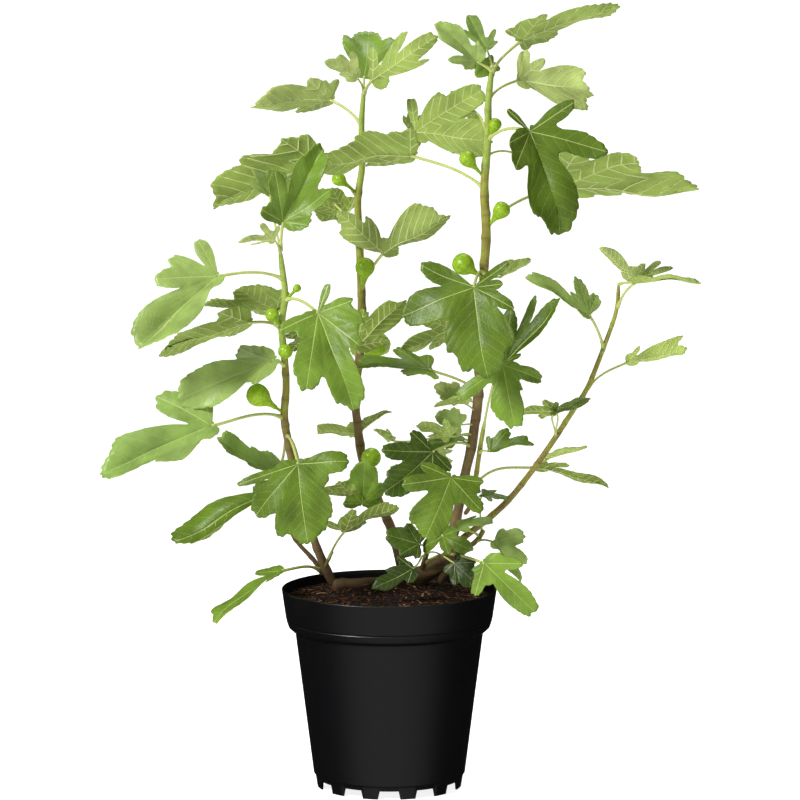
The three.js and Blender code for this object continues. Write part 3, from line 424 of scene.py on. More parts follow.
# ---- Woody stems -------------------------------------------------------------------------------
# A thick foot that creeps over the mix, with the stems that rise from it: brown bark below, olive
# and then green towards the tips, and ringed where each leaf sat. They are grown in one piece.
# Each row is a point of a stem's middle line, and the stem's greatest thickness there.
STEMS = {
    "left": [
        [-57, 15, 205, 12], [-74, 10, 243, 10.5], [-92, 0, 307, 10], [-99, -5, 337, 9.5],
        [-108, -15, 384, 8.5], [-104, -18, 415, 8], [-107, -22, 455, 7.5],
        [-110, -25, 483, 7], [-104, -28, 508, 6.5], [-109, -30, 545, 5.5],
        [-110, -30, 557, 5]],
    "centre_left": [
        [16, 35, 205, 12], [4, 38, 257, 11.5], [-14, 46, 295, 11], [-28, 50, 329, 10.5],
        [-36, 58, 393, 10], [-28, 62, 465, 9.5], [-29, 64, 505, 9], [-31, 65, 558, 8.5],
        [-33, 66, 603, 7.5], [-27, 66, 636, 6.5], [-29, 66, 677, 6], [-26, 68, 713, 5]],
    "centre_right": [
        [52, 25, 205, 13], [65, 22, 252, 13], [77, 15, 318, 12.5], [86, 10, 358, 12.5],
        [91, 6, 405, 11.5], [95, 2, 482, 11], [97, 0, 544, 10.5], [99, -2, 575, 10],
        [96, -4, 616, 9], [100, -5, 667, 8], [100, -6, 707, 7], [104, -6, 739, 6]],
    "right": [
        [65, 30, 245, 8], [99, 34, 269, 7.5], [125, 38, 292, 7], [156, 42, 332, 6.5],
        [181, 45, 370, 6], [205, 48, 406, 5.5], [221, 50, 448, 5], [235, 50, 487, 4.5],
        [236, 50, 515, 4]],
    "side": [
        [77.2, 13.5, 280, 5.5], [84, 8, 287, 5.5], [87, 7, 305, 5.5], [90.5, 5.5, 332, 5.5],
        [95, 4, 364, 5], [96.5, 4, 371, 5]],
    "thin": [
        [-69, 19, 215, 6], [-74, 22, 229, 6], [-89, 26, 241, 5.5], [-99, 30, 253, 5],
        [-118, 40, 291, 4.5], [-119, 42, 300, 4]],
    "inner": [
        [-66, 4, 226, 4], [-62, 0, 236, 4], [-58, -2, 245, 3.5]],
    "front": [
        [34, 19.2, 221.8, 7], [38, 4, 241, 6], [46, -14, 264, 5]],
    "knot": [
        [77.9, 20.4, 243, 7], [90, 6, 253, 6], [97, 0, 266, 5]],
    "foot": [
        [-60, 15, 204, 17], [-38, 20, 206, 13], [-5, 28, 205, 12], [36, 28, 214, 19],
        [66, 26, 234, 16], [75, 25, 244, 13]],
}
# Heights between which a stem's bark gives way to green skin.
GREENING = {
    "left": (300, 500), "centre_left": (340, 680), "centre_right": (360, 720), "right": (0, 700),
    "side": (250, 420), "thin": (230, 330), "inner": (180, 300), "front": (200, 300),
    "knot": (220, 330), "foot": (400, 500),
}
STEM_SIDES = 28
STEM_STEP = 1.6  # between stations along a stem
RING_SPACING = 27  # between the rings that fallen leaves left
RING_REACH = 3.2
RING_SLANT = 0.9
# Relief of the bark, as shares of the stem's half thickness.
HOLLOW = 0.19  # how far woody bark stays under the greatest thickness
RING_SWELLING = 0.07
BUD_SWELLING = 0.14  # on one side of a ring, where the leaf and its bud sat
RING_GROOVE = 0.05
GREEN_KNOBS = 0.025
BARK_KNOBS = 0.05  # more on woody bark
BARK_RIBS = 0.02
FOOT_KNOBS = 0.09  # more on the creeping foot
FISSURE = 1.6  # width of the bark's fissures
BLOTCH = 14
FOOT_DARKENING = (205, 260)  # heights between which the darkening of the stems' foot fades out
SCAR_SHOWS = 0.75  # share of brown in the rings on bark
stem_seed = np.random.default_rng(23)


def stem_at(stem, height):
    """Points of a stem's middle line at these heights."""
    rows = np.array(STEMS[stem], float)
    return np.stack([np.interp(height, rows[:, 2], rows[:, k]) for k in range(3)], axis=-1)


def stem_line(stem):
    """A stem's stations: its rows joined by straight runs, cut into short steps and smoothed by a
    running mean, with the ends kept. Returns points and thickness."""
    rows = np.array(STEMS[stem], float)
    along = np.concatenate([[0], np.cumsum(np.linalg.norm(np.diff(rows[:, :3], axis=0), axis=1))])
    steps = np.linspace(0, along[-1], int(along[-1] / STEM_STEP) + 2)
    fine = np.stack([np.interp(steps, along, column) for column in rows.T], axis=1)
    half = max(1, min(9, len(fine) // 4))
    padded = np.concatenate([
        2 * fine[:1] - fine[half:0:-1], fine, 2 * fine[-1:] - fine[-2:-half - 2:-1]])
    total = np.cumsum(np.concatenate([np.zeros((1, 4)), padded]), axis=0)
    smooth = (total[2 * half + 1:] - total[:-2 * half - 1]) / (2 * half + 1)
    return smooth[:, :3], smooth[:, 3]


def waves(seed, sizes, coordinates, count):
    """A smooth random pattern between about -1 and 1: the mean of cosines of random phase, whose
    whole numbers of waves along each coordinate are drawn up to these sizes."""
    total = 0
    for _ in range(count):
        phase = seed.uniform(0, 2 * np.pi)
        steps = [seed.integers(-size, size + 1) for size in sizes]
        total = total + np.cos(sum(n * c for n, c in zip(steps, coordinates)) + phase)
    return total / np.sqrt(count)


# Fig bark: thin, dull and brown, with fissures along the stem that are a few tenths of a millimetre
# wide and are drawn coarser so that they show. The mark "green" runs from bark to the young skin,
# olive between them, and "scar" marks the rings, which stay brown up to the tips. The stems turn
# darker towards their foot, near the mix.
bark, shader = add_material("fig_bark", Base_Color=linear("#735a45"), Roughness=0.72,
                            Specular_IOR_Level=0.35)
place = add_node(bark, "ShaderNodeTexCoord", {})
green = add_node(bark, "ShaderNodeAttribute", {}, attribute_name="green")
scar = add_node(bark, "ShaderNodeAttribute", {}, attribute_name="scar")
blotch = add_node(bark, "ShaderNodeTexNoise", {
    "Vector": place.outputs["Object"], "Scale": 1 / (BLOTCH * MM), "Detail": 3.0})
shift = add_node(bark, "ShaderNodeMath", {0: blotch.outputs[0], 1: 0.5}, operation="SUBTRACT")
uneven = add_node(bark, "ShaderNodeMath", {0: shift.outputs[0], 1: 1.1, 2: green.outputs["Fac"]},
                  operation="MULTIPLY_ADD")
skin = colour_ramp(bark, uneven.outputs[0],
                   [(0, "#806848"), (0.28, "#857543"), (0.55, "#96903c"), (0.9, "#a0b552")])
fine = add_node(bark, "ShaderNodeMapping", {"Vector": place.outputs["Object"], "Scale": (1.0, 1.0, 0.28)})
fissures = add_node(bark, "ShaderNodeTexNoise", {
    "Vector": fine.outputs[0], "Scale": 1 / (FISSURE * MM), "Detail": 4.0, "Roughness": 0.65})
shading = add_node(bark, "ShaderNodeMapRange", {
    "Value": fissures.outputs[0], "From Min": 0.3, "From Max": 0.75, "To Min": 0.8, "To Max": 1.14})
mottled = add_node(bark, "ShaderNodeMix", {
    "Factor": 1.0, "A": skin, "B": shading.outputs["Result"]}, data_type="RGBA", blend_type="MULTIPLY")
browned = add_node(bark, "ShaderNodeMix", {
    "Factor": scar.outputs["Fac"], "A": mottled.outputs[2], "B": linear("#5d4630")}, data_type="RGBA")
# The stems turn darker towards their foot, near the mix.
above_floor = add_node(bark, "ShaderNodeSeparateXYZ", {"Vector": place.outputs["Object"]})
darker_foot = add_node(bark, "ShaderNodeMapRange", {
    "Value": above_floor.outputs["Z"], "From Min": FOOT_DARKENING[0] * MM, "From Max": FOOT_DARKENING[1] * MM,
    "To Min": 0.75, "To Max": 0.0})
foot_darkened = add_node(bark, "ShaderNodeMix", {
    "Factor": darker_foot.outputs["Result"], "A": browned.outputs[2], "B": linear("#40291c")}, data_type="RGBA")
link_to(bark, shader, "Base Color", foot_darkened.outputs[2])
cracks = add_node(bark, "ShaderNodeBump", {
    "Height": fissures.outputs[0], "Strength": 0.6, "Distance": 0.5 * MM})
link_to(bark, shader, "Normal", cracks.outputs["Normal"])

stem_shapes, stem_green, stem_scar = [], [], []
for stem, (brown_below, green_above) in GREENING.items():
    line, thick = stem_line(stem)
    stations = len(line)
    run = np.arange(stations)[:, None] * STEM_STEP
    turn = (np.arange(STEM_SIDES) * 2 * np.pi / STEM_SIDES)[None]
    rings = np.arange(stem_seed.uniform(8, 20), stations * STEM_STEP - 6, RING_SPACING)
    rings = rings + stem_seed.normal(0, 4, len(rings))
    lean = stem_seed.uniform(0, 2 * np.pi, len(rings))
    off = (run[..., None] - rings - RING_SLANT * np.cos(turn[..., None] - lean)) / RING_REACH
    swelling = np.exp(-off ** 2).sum(-1)
    groove = np.exp(-(off * 3.2) ** 2).sum(-1)
    bud = (np.exp(-off ** 2) * np.clip(np.cos(turn[..., None] - lean), 0, 1) ** 2).sum(-1)
    knobbly = waves(stem_seed, (3, 9), (turn, run / 60), 8)
    ribbed = waves(stem_seed, (9, 6), (turn, run / 40), 8)
    woody = np.clip((green_above - line[:, 2:]) / (green_above - brown_below), 0, 1)
    hollow, knobs = (0, FOOT_KNOBS) if stem == "foot" else (HOLLOW, 0)
    relief = 1 - hollow * woody + RING_SWELLING * swelling + BUD_SWELLING * bud - RING_GROOVE * groove
    relief = relief + (GREEN_KNOBS + BARK_KNOBS * woody + knobs) * knobbly + BARK_RIBS * woody * ribbed
    round_ends = np.sqrt(np.clip(1 - (np.abs(np.linspace(-1, 1, stations)) ** 40), 0.05, 1))[:, None]
    radii = thick[:, None] / 2 * relief * round_ends
    stem_shapes.append(bars(line[None], radii[None], STEM_SIDES, (0.2, 1, 0.1)))
    stem_green.append(np.broadcast_to(1 - woody, relief.shape).ravel())
    stem_scar.append((SCAR_SHOWS * np.clip(groove, 0, 1) * (0.35 + 0.65 * woody)).ravel())
stem_points, stem_faces = joined(stem_shapes)
stems = add_piece("woody_stems", stem_points, stem_faces, [bark], None,
                  {"green": np.concatenate(stem_green), "scar": np.concatenate(stem_scar)})
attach(stems, "root")
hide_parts("trunk", "left_bough", "centre_left_bough", "centre_right_bough", "right_bough")

# ---- Leaf blades -------------------------------------------------------------------------------
# Lobed blades, toothed and wavy, that grow from a hub where stalk and main veins meet. Each row is
# a leaf: the height at which its stalk leaves the stem, its hub, its length, how it is turned
# (slant in the front plane, lean to the front, twist about the midrib) and bent (fold, curl, roll),
# its kind and tint, and its own lobes where they differ from the kind's.
LEAF_COLUMNS = "out x y z long slant lean twist fold curl roll kind tint lobes".split()
LEAVES = {
    "left_crown": [
        [553, -116, -45, 569, 38, 176, 20, 135, 28, 15, 0, "deep", "pale"],
        [556, -107, -25, 585, 84, 62, -5, 4, 32, 0, 0, "three", "mid",
         [(43, 0.69, 14), (88, 0.37), (-31, 0.72, 10), (-72, 0.32)]],
        [527, -172, -55, 533, 112, 218, 25, 44, 30, 5, 0, "slim", "fresh",
         [(24, 0.84, 11), (12, 0.9, 10), (-8, 0.94, 11), (-39, 0.58, 14), (-62, 0.47, 13),
          (-104, 0.4, 15)]],
        [476, -144, 10, 479, 92, 197, 10, 126, 18, 10, 0, "three", "mid",
         [(14, 0.86, 10), (45, 0.42, 12), (-30, 0.35, 14), (-90, 0.1, 12)]],
        [495, -117, 40, 487, 76, 172, 10, 120, 15, 10, 0, "broad", "mid",
         [(38, 0.8, 20), (62, 0.68, 20), (90, 0.54, 18), (-40, 0.4, 15), (-90, 0.3, 15)]],
        [506, -71, -75, 498, 103, -67, 25, -8, 12, 20, 0, "deep", "mid",
         [(30, 0.55, 14), (56, 0.46, 20), (88, 0.36, 16), (138, 0.31, 11), (-30, 0.8, 16),
          (-84, 0.42, 13)]],
        [437, -118, -40, 446, 103, 200, 10, 70, 15, 10, 70, "three", "fresh",
         [(45, 0.32, 14), (95, 0.14, 14), (-50, 0.36, 13), (-95, 0.18, 14)]],
        [384, -179, -60, 382, 128, 199, 22, 46, 18, 8, 0, "slim", "bright",
         [(22, 0.62, 14), (8, 0.92, 9), (-12, 0.84, 10), (-58, 0.5, 20), (-102, 0.33, 15)]],
        [362, -116, 30, 325, 72, 168, 5, 72, 20, -30, 20, "three", "bright",
         [(30, 0.6, 14), (90, 0.2, 12), (-25, 0.5, 12), (-90, 0.15, 12)]],
        [365, -92, -60, 343, 80, -85, 22, 0, 5, 20, 0, "heart", "dark",
         [(27, 0.78, 13), (88, 0.64, 19), (-22, 0.92, 8), (-46, 0.84, 17), (-76, 0.8, 6)]],
        [470, -78, 66, 462, 62, -75, -58, 180, 15, 15, 0, "broad", "old"],
        [362, -92, 75, 316, 66, -100, -62, 170, 15, 15, 0, "three", "dark"],
        [550, -122, 42, 606, 52, 70, -60, 0, 20, 15, 0, "broad", "bright"],
    ],
    "centre_left_crown": [
        [295, -40, -10, 305, 32, 170, 10, 130, 20, 10, 0, "heart", "shade"],
        [560, -78, 140, 606, 64, 180, -60, -170, 15, 15, 0, "three", "mid"],
        [440, -24, 146, 452, 56, -50, -60, 180, 15, 15, 0, "broad", "fresh"],
        [640, 22, 150, 664, 52, 20, -65, -170, 15, 15, 0, "three", "mid"],
        [290, 16, 100, 308, 40, 180, -70, -170, 15, 15, 0, "three", "deep"],
        [712, -33, 50, 726, 38, 150, 15, 160, 20, 10, 0, "deep", "pale",
         [(20, 0.85, 14), (50, 0.75, 12), (-28, 0.5, 10), (-98, 0.1, 10)]],
        [708, -17, 50, 724, 84, 34, 15, 168, 12, 0, 0, "slim", "bright",
         [(15, 0.72, 5), (45, 0.12, 8), (-21, 0.74, 7), (-60, 0.4, 14)]],
        [705, -26, 85, 725, 66, 81, -40, 0, 5, 10, 0, "slim", "mid",
         [(10, 0.97, 9), (26, 0.84, 13), (-8, 0.97, 8), (-22, 0.95, 9), (-60, 0.25, 10)]],
        [677, -61, 90, 701, 82, 180, 10, 132, 20, 10, 0, "three", "pale",
         [(16, 0.8, 12), (46, 0.42, 14), (98, 0.34, 13), (-38, 0.5, 14), (-90, 0.2, 14)]],
        [603, -75, 95, 633, 114, 199, -5, 130, 30, 12, 0, "broad", "mid",
         [(14, 0.9, 10), (28, 0.7, 9), (62, 0.4, 16), (88, 0.34, 18), (-36, 0.6, 16), (-84, 0.3, 14)]],
        [600, -46, 110, 582, 46, 160, 10, 150, 20, 10, 0, "heart", "shade"],
        [505, -6, 30, 548, 82, 32, 20, -160, 25, 0, 0, "slim", "dark",
         [(-10, 0.95, 10), (-22, 0.86, 12), (-84, 0.5, 12), (-108, 0.78, 13), (-126, 0.62, 12)]],
        [440, -33, 30, 452, 68, 46, 10, -160, 20, 10, 0, "three", "shade",
         [(43, 0.5, 14), (90, 0.2, 12), (-34, 0.6, 13), (-80, 0.25, 12)]],
        [276, -28, 10, 292, 46, 85, 15, 0, 5, 10, 0, "heart", "mid"],
        [350, -31, 75, 355, 48, 176, -20, 140, 20, 10, 0, "deep", "fresh",
         [(48, 0.2, 10), (98, 0.12, 10), (-40, 0.36, 10), (-98, 0.1, 10)]],
        [352, -28, 80, 358, 35, 38, 0, -110, 20, 10, 0, "heart", "shade"],
        [655, 27, 75, 669, 82, -5, 10, -160, 18, 8, 0, "slim", "bright",
         [(12, 0.95, 11), (24, 0.6, 10), (-14, 0.9, 9), (-40, 1.06, 13), (-60, 0.6, 12),
          (-102, 0.44, 13)]],
    ],
    "centre_right_crown": [
        [650, 160, 85, 634, 54, -20, -60, 180, 15, 15, 0, "broad", "mid"],
        [480, 80, 110, 470, 84, -70, -55, 180, 15, 15, 0, "three", "dark"],
        [500, 86, 140, 494, 60, -80, -65, 180, 15, 15, 0, "broad", "mid"],
        [665, 84, 95, 692, 56, 200, -60, 170, 15, 15, 0, "three", "mid"],
        [350, 40, 118, 330, 56, -100, -60, 180, 15, 15, 0, "broad", "dark"],
        [617, 22, 15, 649, 100, 181, 11, 126, 16, 8, 0, "broad", "mid",
         [(28, 0.68, 15), (82, 0.42, 11), (-36, 0.5, 15), (-90, 0.2, 12)]],
        [455, 65, 25, 470, 62, 200, 10, 140, 20, 10, 0, "three", "mid"],
        [407, 40, -10, 433, 76, 170, 12, 70, 10, 10, 0, "three", "mid"],
        [736, 89, -10, 746, 56, 134, 10, 10, 25, 5, 0, "deep", "fresh",
         [(40, 0.6, 11), (70, 0.3, 10), (-17, 0.8, 6), (-45, 0.4, 9)]],
        [739, 106, 30, 742, 23, 212, 20, 0, 10, 10, 0, "heart", "mid"],
        [739, 99, 25, 757, 42, 120, 15, 0, 20, 5, 0, "deep", "bright",
         [(22, 0.8, 6), (90, 0.15, 9), (-48, 0.58, 10), (-80, 0.35, 10)]],
        [735, 135, 20, 766, 104, 22, 10, -122, 12, 5, 0, "three", "bright",
         [(38, 0.34, 12), (95, 0.3, 14), (-42, 0.46, 12), (-14, 0.66, 9), (-104, 0.28, 14)]],
        [707, 132, 30, 725, 78, -5, 12, -150, 18, 8, 0, "slim", "pale",
         [(10, 0.97, 10), (24, 0.95, 12), (-16, 0.92, 11), (-45, 0.45, 14), (-80, 0.42, 17)]],
        [667, 141, -60, 679, 106, -70, 12, -22, 22, 8, 0, "three", "dark",
         [(58, 0.74, 13), (104, 0.5, 13), (15, 0.8, 9), (-17, 0.84, 9), (-46, 0.46, 12),
          (-78, 0.3, 14), (-148, 0.32, 9)]],
        [577, 170, 60, 613, 148, 0, 6, -114, 12, 5, 0, "three", "mid",
         [(24, 0.55, 12), (-15, 0.95, 10), (-36, 0.76, 15), (-70, 0.56, 19)]],
        [530, 85, -75, 524, 92, -85, 28, 4, 5, 25, 0, "slim", "dark",
         [(10, 0.93, 12), (26, 0.8, 12), (54, 0.5, 12), (90, 0.33, 16), (122, 0.47, 10),
          (-12, 0.93, 12), (-27, 0.76, 12), (-50, 0.5, 12), (-74, 0.84, 19), (-118, 0.62, 16)]],
        [520, 117, 60, 522, 33, 30, 0, -120, 20, 5, 0, "heart", "fresh"],
        [420, 119, 20, 437, 86, 48, 0, -50, 25, -5, 0, "slim", "dark",
         [(18, 0.9, 5), (38, 0.64, 12), (-12, 0.9, 9), (-48, 0.3, 11)]],
        [350, 44, -50, 354, 66, 222, 28, 0, 5, 18, 0, "broad", "deep",
         [(44, 0.62, 15), (92, 0.4, 20), (-42, 0.84, 15), (-84, 0.46, 19)]],
        [395, 70, 0, 402, 28, 145, 10, 160, 20, 10, 0, "heart", "pale"],
        [385, 78, -6, 397, 34, 178, 10, 110, 20, 5, 0, "heart", "fresh"],
        [372, 72, -12, 377, 28, 152, 20, 20, 10, 10, 0, "heart", "fresh"],
        [362, 62, -20, 366, 38, 152, 20, 150, 15, 10, 0, "three", "bright"],
        [360, 68, 8, 363, 34, 200, 20, 50, 15, 10, 0, "heart", "mid"],
        [355, 0, -20, 362, 20, 133, 10, 130, 20, 30, 0, "heart", "mid"],
    ],
    "right_crown": [
        [448, 205, 34, 484, 74, 147, 8, 60, 12, 10, 0, "slim", "fresh",
         [(-10, 0.95, 9), (-30, 0.4, 12), (-56, 0.62, 15), (-92, 0.46, 18)]],
        [513, 252, 34, 519, 52, 133, 10, 140, 20, 10, 0, "deep", "pale",
         [(66, 0.45, 13), (88, 0.72, 7), (104, 0.85, 6), (-40, 0.3, 10)]],
        [490, 251, 20, 518, 68, 7, 15, -97, 25, 10, 0, "deep", "fresh",
         [(48, 0.1, 9), (98, 0.1, 9), (-48, 0.12, 9), (-98, 0.1, 9)]],
        [406, 248, 90, 428, 62, 11, 5, -140, 20, 5, 0, "slim", "fresh",
         [(8, 0.9, 8), (-14, 0.98, 9), (-46, 0.38, 9)]],
        [356, 169, 0, 389, 40, 14, 0, -82, 5, -8, 0, "heart", "fresh"],
        [356, 169, 0, 389, 34, 178, 10, 140, 15, 8, 0, "three", "shade"],
        [325, 165, 58, 331, 42, 18, 0, -100, 20, 5, 0, "heart", "bright"],
    ],
    "side_shoot": [
        [370, 115, -55, 443, 64, -81, 20, 0, 0, 15, 0, "three", "mid",
         [(62, 0.66, 15), (26, 0.5, 10), (-18, 0.8, 12), (-64, 0.92, 11), (-110, 0.12, 10)]],
        [345, 103, -20, 351, 44, 16, 10, -60, 35, 10, 0, "three", "dark",
         [(40, 0.66, 18), (90, 0.36, 14), (-25, 0.4, 10), (-70, 0.1, 8)]],
        [312, 152, 98, 316, 76, -13, 0, -130, 18, 10, 0, "slim", "shade",
         [(40, 0.15, 8), (90, 0.1, 8), (-26, 0.52, 9), (-90, 0.12, 8)]],
    ],
    "low_left_shoot": [
        [298, -118, 45, 300, 118, 203, 10, 64, 22, 12, 0, "slim", "dark",
         [(12, 0.88, 9), (43, 0.36, 12), (-9, 0.95, 9), (-95, 0.1, 8)]],
        [220, -109, -20, 227, 90, 205, 10, 80, 14, 28, 0, "slim", "mid",
         [(9, 0.9, 8), (40, 0.3, 12), (-9, 0.95, 9), (-40, 0.36, 14)]],
    ],
    "low_inner_shoot": [
        [236, -45, -20, 268, 62, 31, 10, -125, 20, 10, 0, "three", "shade",
         [(43, 0.4, 12), (90, 0.15), (-43, 0.5, 14), (-110, 0.4, 12)]],
    ],
    "front_sucker": [
        [262, 62, -85, 333, 68, 248, 25, 0, 5, 20, 0, "broad", "dark",
         [(62, 0.7, 13), (84, 0.5, 14), (104, 0.5, 14), (-20, 0.9, 10), (-58, 0.74, 14),
          (-92, 0.48, 16)]],
        [250, 55, -50, 268, 38, -25, 45, 10, 5, 20, 0, "broad", "dark",
         [(42, 0.5, 18), (90, 0.3, 15), (-45, 0.55, 16), (-135, 0.95, 17)]],
        [244, 30, -40, 258, 36, 160, 20, 20, 5, 20, 0, "heart", "deep"],
        [228, 96, -80, 245, 72, -44, 15, 0, 0, 15, 0, "deep", "mid",
         [(44, 0.54, 13), (100, 0.1, 12), (-62, 0.48, 15), (-105, 0.2, 12)]],
        [236, 24, -60, 236, 46, 206, 20, 25, 5, 10, 0, "deep", "old",
         [(40, 0.36, 12), (95, 0.1, 10), (-26, 0.6, 12), (-70, 0.45, 14)]],
        [240, 66, -50, 240, 34, -40, 30, 0, 5, 10, 0, "heart", "old"],
    ],
    "right_sucker": [
        [252, 107, -10, 255, 50, -50, 20, -30, 30, 10, 0, "slim", "fresh",
         [(24, 0.8, 14), (66, 0.66, 23), (104, 0.35, 15), (-40, 0.1, 8), (-95, 0.05, 8)]],
        [262, 96, 20, 300, 28, -8, 10, -70, 10, 5, 0, "three", "dark"],
        [258, 70, -20, 273, 40, 16, 20, -75, 5, 5, 0, "three", "bright"],
    ],
}
# The kinds of outline: half width of the middle lobe as an angle; the side lobe and the base lobe,
# as angle from the midrib, length as a share of the leaf's, and half width; and the web, which is
# how far the blade reaches out from the hub between the lobes.
KINDS = {
    "deep": {"centre": 15, "lobes": [(48, 0.68, 11), (98, 0.42, 14)], "web": 0.32},
    "three": {"centre": 18, "lobes": [(43, 0.58, 15), (95, 0.34, 19)], "web": 0.36},
    "broad": {"centre": 19, "lobes": [(42, 0.76, 15), (90, 0.48, 20)], "web": 0.42},
    "heart": {"centre": 26, "lobes": [(42, 0.68, 22), (95, 0.42, 26)], "web": 0.44},
    "slim": {"centre": 10, "lobes": [(35, 0.7, 9), (80, 0.3, 10)], "web": 0.2},
}
WEB_START = 60  # the web between the lobes gets shorter from this angle
WEB_RANGE = 70  # over so many degrees
WEB_FALL = 0.8  # by this share
LOBE_REACH = 1.45  # half widths from its own line at which a lobe is gone
LOBE_ROUNDING = 1.8  # power at which it gets shorter on the way there
OUTLINE_BLEND = 10  # power of the mean in which lobes and web flow together
STALK_BAY = 0.85  # share by which the margin runs in to the hub beside the stalk
STALK_BAY_WIDTH = 16  # in degrees
LOBE_SWEEP = 3.0  # spread of how far a lobe's tip is swept to one side, in degrees
MARGIN_WAVE = 0.032  # of the distance from hub to margin
TOOTH_PITCH = 8.5  # between the teeth of the margin, on a leaf 90 long
TOOTH_DEPTH = 2.2
LEAF_THICKNESS = 0.5
LEAF_DROOP = 12  # how far the halves turn down again
DROOP_RUN = 0.7  # in this share of the length
SLOW_WAVE = 3.3  # height of the blade's slow waves, on a leaf 100 long
EDGE_WAVE = 2.6  # and of the shorter ones along the margin
VEIN_PUFF = 0.6  # and of the puff between two side veins
MAIN_LINE = 0.17  # half width of a main vein at its tip, on a leaf 100 long
MAIN_LINE_GROWTH = 0.38  # and how much wider it is at the hub
VEIN_FADE = 0.07  # of the leaf's length: width of the bare strip halfway between main veins
SHORTEST_VEINED = 0.24  # lobes shorter than this have no main vein of their own
MAIN_VEINS_APART = 28  # least angle between two main veins
VEIN_SPREAD = 52  # angle at which side veins leave a main vein
VEIN_BOW = 0.7  # how much they bow towards the lobe's tip
VEIN_SPACING = 0.12  # between side veins, of the leaf's length
LEAST_SPACING = 6.0  # on small leaves
FIRST_VEIN = 0.9  # distance from the hub to the first side vein, of the distance between them
LARGE_LEAF = 60  # leaves longer than this have the finer grid
FINE_GRID = (208, 14)  # points along the margin, and rings
COARSE_GRID = (112, 10)
RING_CROWDING = 0.85  # below 1 the rings crowd towards the margin
PATTERN_STEP = 40.0  # from one leaf to the next in the patterns of the skins


def lobes_of(leaf):
    """The leaf's lobes as rows of angle, length and half width, the middle one first."""
    kind = KINDS[leaf["kind"]]
    (side, base) = kind["lobes"]
    halves = [side[2], base[2], side[2], base[2]]
    own = leaf.get("lobes") or [side[:2], base[:2], (-side[0], side[1]), (-base[0], base[1])]
    outer = [(*row, halves[i % 4])[:3] for i, row in enumerate(own)]
    return np.array([(0, 1, kind["centre"]), *outer], float)


def main_lobes(leaf):
    """The lobes that carry a main vein: the longest first, then each that stands well away from
    those before it. The others only widen the blade beside them."""
    kept = []
    for row in sorted(lobes_of(leaf).tolist(), key=lambda row: -row[1]):
        apart = all(abs(row[0] - other[0]) > MAIN_VEINS_APART for other in kept)
        if row[1] > SHORTEST_VEINED and apart:
            kept.append(row)
    return np.array(kept)


def outline_reach(leaf, angle):
    """Distance from hub to margin, of the leaf's length. Each lobe is longest on its own line and
    gone LOBE_REACH half widths from it. Lobes and web flow together as a high power mean, and
    beside the stalk the margin runs in to the hub as a bell-shaped bay."""
    fall = np.clip((np.abs(angle) - WEB_START) / WEB_RANGE, 0, 1)
    web = KINDS[leaf["kind"]]["web"] * (1 - WEB_FALL * fall)
    total = web ** OUTLINE_BLEND
    for middle, length, half in lobes_of(leaf):
        share = np.clip(np.abs(angle - middle) / (LOBE_REACH * half), 0, 1)
        total = total + (length * np.sqrt(1 - share ** LOBE_ROUNDING)) ** OUTLINE_BLEND
    stalk_bay = 1 - STALK_BAY * np.exp(-((180 - np.abs(angle)) / STALK_BAY_WIDTH) ** 2)
    return total ** (1 / OUTLINE_BLEND) * stalk_bay


def leaf_axes(leaf):
    """Directions along the midrib, across the blade and out of its upper face."""
    slant, lean, twist = np.radians([leaf["slant"], leaf["lean"], leaf["twist"]])
    outward = np.array([np.cos(slant), 0, np.sin(slant)])
    front = np.array([0, -1, 0])
    along = np.cos(lean) * outward + np.sin(lean) * front
    face = -np.sin(lean) * outward + np.cos(lean) * front
    normal = np.cos(twist) * face - np.sin(twist) * np.cross(face, along)
    return along, np.cross(normal, along), normal


def side_vein_spacing(leaf):
    """Distance between the side veins of a main vein."""
    return max(LEAST_SPACING, VEIN_SPACING * leaf["long"])


def side_vein_run(leaf, across):
    """How far along the main vein a side vein has come, at this distance across from it: it leaves
    at VEIN_SPREAD and bows towards the lobe's tip as a parabola."""
    return across / np.tan(np.radians(VEIN_SPREAD)) + VEIN_BOW * across ** 2 / leaf["long"]


def vein_net(leaf, reach, angle):
    """Where points of the flat leaf lie among its veins, in three numbers: how many side veins
    leave the nearest main vein before the one through the point, how many half widths of the main
    vein the point is away from it, and 1, which falls to 0 halfway to the next main vein."""
    off = np.radians(angle[..., None] - main_lobes(leaf)[:, 0])
    nearest = np.abs(off).argmin(-1)[..., None]
    own = np.take_along_axis(off, nearest, -1)[..., 0]
    others = np.sort(np.concatenate([np.abs(off), np.full((*off.shape[:-1], 1), np.pi)], axis=-1), -1)
    along, across = reach * np.cos(own), reach * np.sin(own)
    root = along - side_vein_run(leaf, np.abs(across))
    before = root / side_vein_spacing(leaf) - FIRST_VEIN
    to_tip = np.clip(1 - along / leaf["long"], 0, 1)
    half = leaf["long"] / 100 * (MAIN_LINE + MAIN_LINE_GROWTH * to_tip)
    clear = np.clip((others[..., 1] - others[..., 0]) * reach / (VEIN_FADE * leaf["long"]), 0, 1)
    return before, across / half, clear * (before > -0.5)


def leaf_relief(leaf, reach, angle):
    """Height of the blade's relief: the blade sunk along its veins and puffed up between them,
    and slow waves that grow towards the margin."""
    before, beside, clear = vein_net(leaf, reach, angle)
    puff = np.abs(np.sin(np.pi * before)) * np.clip(np.abs(beside) / 6, 0, 1) * clear
    share = reach / leaf["long"]
    turn = np.radians(angle)
    slow = waves(np.random.default_rng(leaf["number"]), (5, 2), (turn, share * 4), 7)
    edge = waves(np.random.default_rng(leaf["number"] + 500), (13, 2), (turn, share * 3), 7)
    wavy = SLOW_WAVE * slow * np.clip(share * 1.6, 0, 1)
    wavy = wavy + EDGE_WAVE * edge * np.clip(share * 1.4, 0, 1) ** 2
    return leaf["long"] / 100 * (VEIN_PUFF * puff + wavy)


